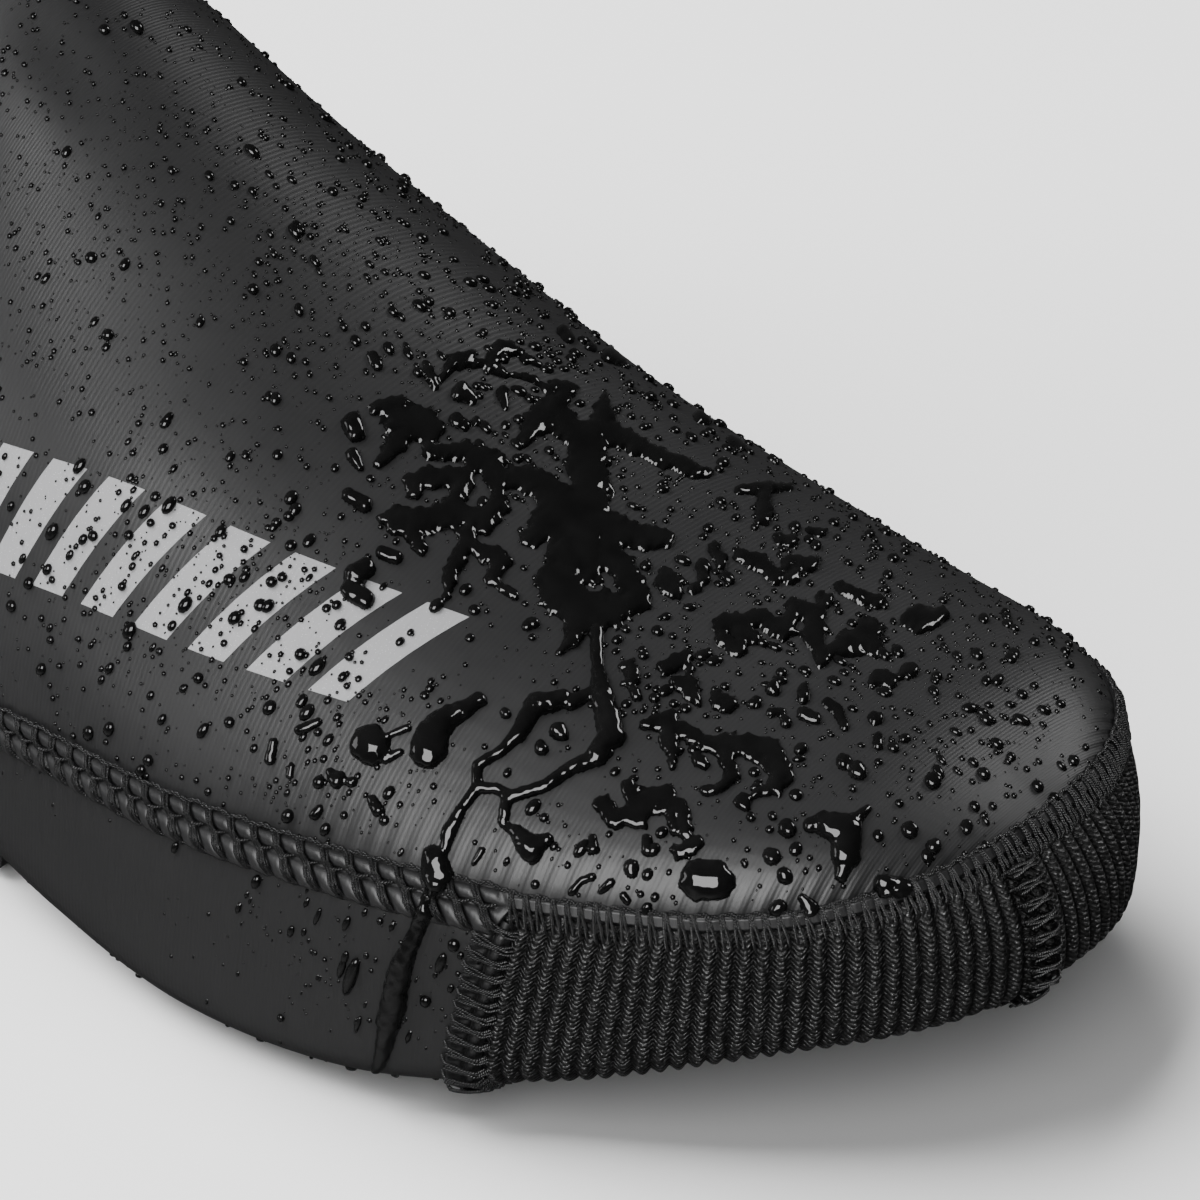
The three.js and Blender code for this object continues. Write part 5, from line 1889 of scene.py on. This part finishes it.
beadSets = {
    "Fine": {"which": 0, "sides": 5, "perMetre": 500000.0, "low": 0.00012, "high": 0.00044, "rarity": 2.6,
             "stretch": 0.5, "seed": 7, "profile": [(1.0, -0.06), (0.82, 0.6), (0, 1.0)]},
    "Larger": {"which": 1, "sides": 10, "perMetre": 150000.0, "low": 0.00038, "high": 0.00088, "rarity": 2.3,
               "stretch": 0.8, "seed": 23, "profile": [(0.97, -0.1), (1.0, 0.3), (0.72, 0.8), (0, 1.0)]},
}


# Copy of a skin with how wet it is and which way water runs there
def wetSkin(obj, name, which):
    look = beadLook
    points, normals = vertexArrays(obj)
    px, py = photoPixels(points).T
    wet = np.zeros(len(points))
    for x, y, reach, *amount in wetSpots.values():
        away = ((px - x) ** 2 + (py - y) ** 2) / reach**2
        wet = np.maximum(wet, amount[which] * np.exp(-(away**1.5)))
    for drops in (puddleDrops, smoothDrops, panelRuns):
        wet = np.where(waterField(px, py, drops, 0.0) > look["besidePuddles"], 0, wet)
    shown = normals @ viewBack > 0.05
    for pixel in (px, py):
        shown &= (pixel > -look["pastFrame"]) & (pixel < view["photoSize"] + look["pastFrame"])
    wet = np.where(shown, wet, look["hidden"][which])
    isOpen = np.array([
        shellTree.find_nearest(Vector(p))[1].dot(Vector(n)) > 0 for p, n in zip(points, normals)])
    isOpen &= readAttribute(obj, "seamDistance") > look["besideSeam"]
    isOpen &= points[:, 2] < shell["collarHeight"] - look["belowCollar"]
    slope = np.array(look["slope"]) + 0 * normals
    slope -= normals * np.sum(slope * normals, axis=1, keepdims=True)
    skin = bpy.data.objects.new(name, obj.data.copy())
    bpy.context.scene.collection.objects.link(skin)
    setAttribute(skin, "wetness", np.where(isOpen, wet, 0))
    setAttribute(skin, "down", slope, "FLOAT_VECTOR")
    return skin


def scatterBeads(label, beads):
    bead = beadShape(beads["sides"], beads["profile"])
    streak = beadLook["panelStreak"]
    for obj, place, stretch in (
            (upperSkin, "Upper", 1.0), (outerPanel, "PanelOuter", streak),
            (innerPanel, "PanelInner", streak)):
        skin = wetSkin(obj, f"waterBeads{label}{place}", beads["which"])
        addNodesModifier(skin, beadNodes, {
            "Bead": bead, "Per Square Metre": beads["perMetre"], "Smallest": beads["low"],
            "Largest": beads["high"], "Rarity": beads["rarity"], "Stretch": beads["stretch"] * stretch,
            "Seed": beads["seed"], "Material": water})
        bakeModifiers(skin)
        skin.data.polygons.foreach_set("use_smooth", [True] * len(skin.data.polygons))
        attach(skin, "root")
        print(skin.name, len(skin.data.polygons), "faces")
    dropShape(bead)


for label, beads in beadSets.items():
    scatterBeads(label, beads)


# Studio: a bright floor lit softly from above, a large window light from the left and a small one behind.
# Lights: the point that they aim at, the direction that they come from, distance, size and power
studio = {
    "floorColor": (0.93, 0.93, 0.93, 1),
    "floorSize": 6.0,
    "ambient": 0.05,
    "frontGlow": 0.55,
    "reflected": {
        "window": ((0.08, 0, 0.04), (0.35, -0.72, 0.60), 1.15, 0.78, 32.0),
        "side": ((0.02, 0, 0.06), (-0.64, -0.70, 0.30), 1.20, 0.45, 3.0),
        "edge": ((0.09, 0, 0.04), (0.29, 0.79, 0.54), 1.30, 0.42, 7.0),
    },
    "general": {
        "ceiling": ((0, 0, 0), (-0.66, -0.24, 1.0), 1.9, 1.8, 132.0),
        "front": ((0.1, 0, 0), (0.35, -0.80, 0.75), 1.6, 1.4, 15.0),
    },
}


def addFloor():
    material, tree = newMaterial("studioFloor")
    finishMaterial(material, {
        "Base Color": studio["floorColor"], "Roughness": 0.9, "Specular IOR Level": 0.0})
    corners = [(x * studio["floorSize"], y * studio["floorSize"], 0) for x, y in
               ((-1, -1), (1, -1), (1, 1), (-1, 1))]
    obj = meshObject("floor", corners, [(0, 1, 2, 3)], material)
    obj.visible_glossy = False


def addWorld():
    world = bpy.data.worlds.new("studio")
    bpy.context.scene.world = world
    world.use_nodes = True
    tree = world.node_tree
    heading = addNode(tree, "ShaderNodeTexCoord").outputs["Generated"]
    heading = addNode(tree, "ShaderNodeSeparateXYZ", {"Vector": heading}).outputs
    glow = times(tree, ramp(tree, heading["Y"], -0.1, -0.8), ramp(tree, heading["Z"], -0.05, -0.75))
    strength = plus(tree, times(tree, glow, studio["frontGlow"]), studio["ambient"])
    setSockets(tree, tree.nodes["Background"], {"Color": (1, 1, 1, 1), "Strength": strength})


def addAreaLight(name, aim, comesFrom, away, size, power):
    data = bpy.data.lights.new(name, "AREA")
    data.energy = power
    data.shape = "SQUARE"
    data.size = size
    lamp = bpy.data.objects.new(name, data)
    bpy.context.scene.collection.objects.link(lamp)
    lamp.location = Vector(aim) + Vector(comesFrom).normalized() * away
    lamp.rotation_euler = (lamp.location - Vector(aim)).to_track_quat("Z", "Y").to_euler()
    return lamp


addFloor()
addWorld()
for kind in ("reflected", "general"):
    for name, light in studio[kind].items():
        lamp = addAreaLight(name, *light)
        lamp.visible_diffuse = kind == "general"
        lamp.visible_glossy = kind == "reflected"
print("studio set")
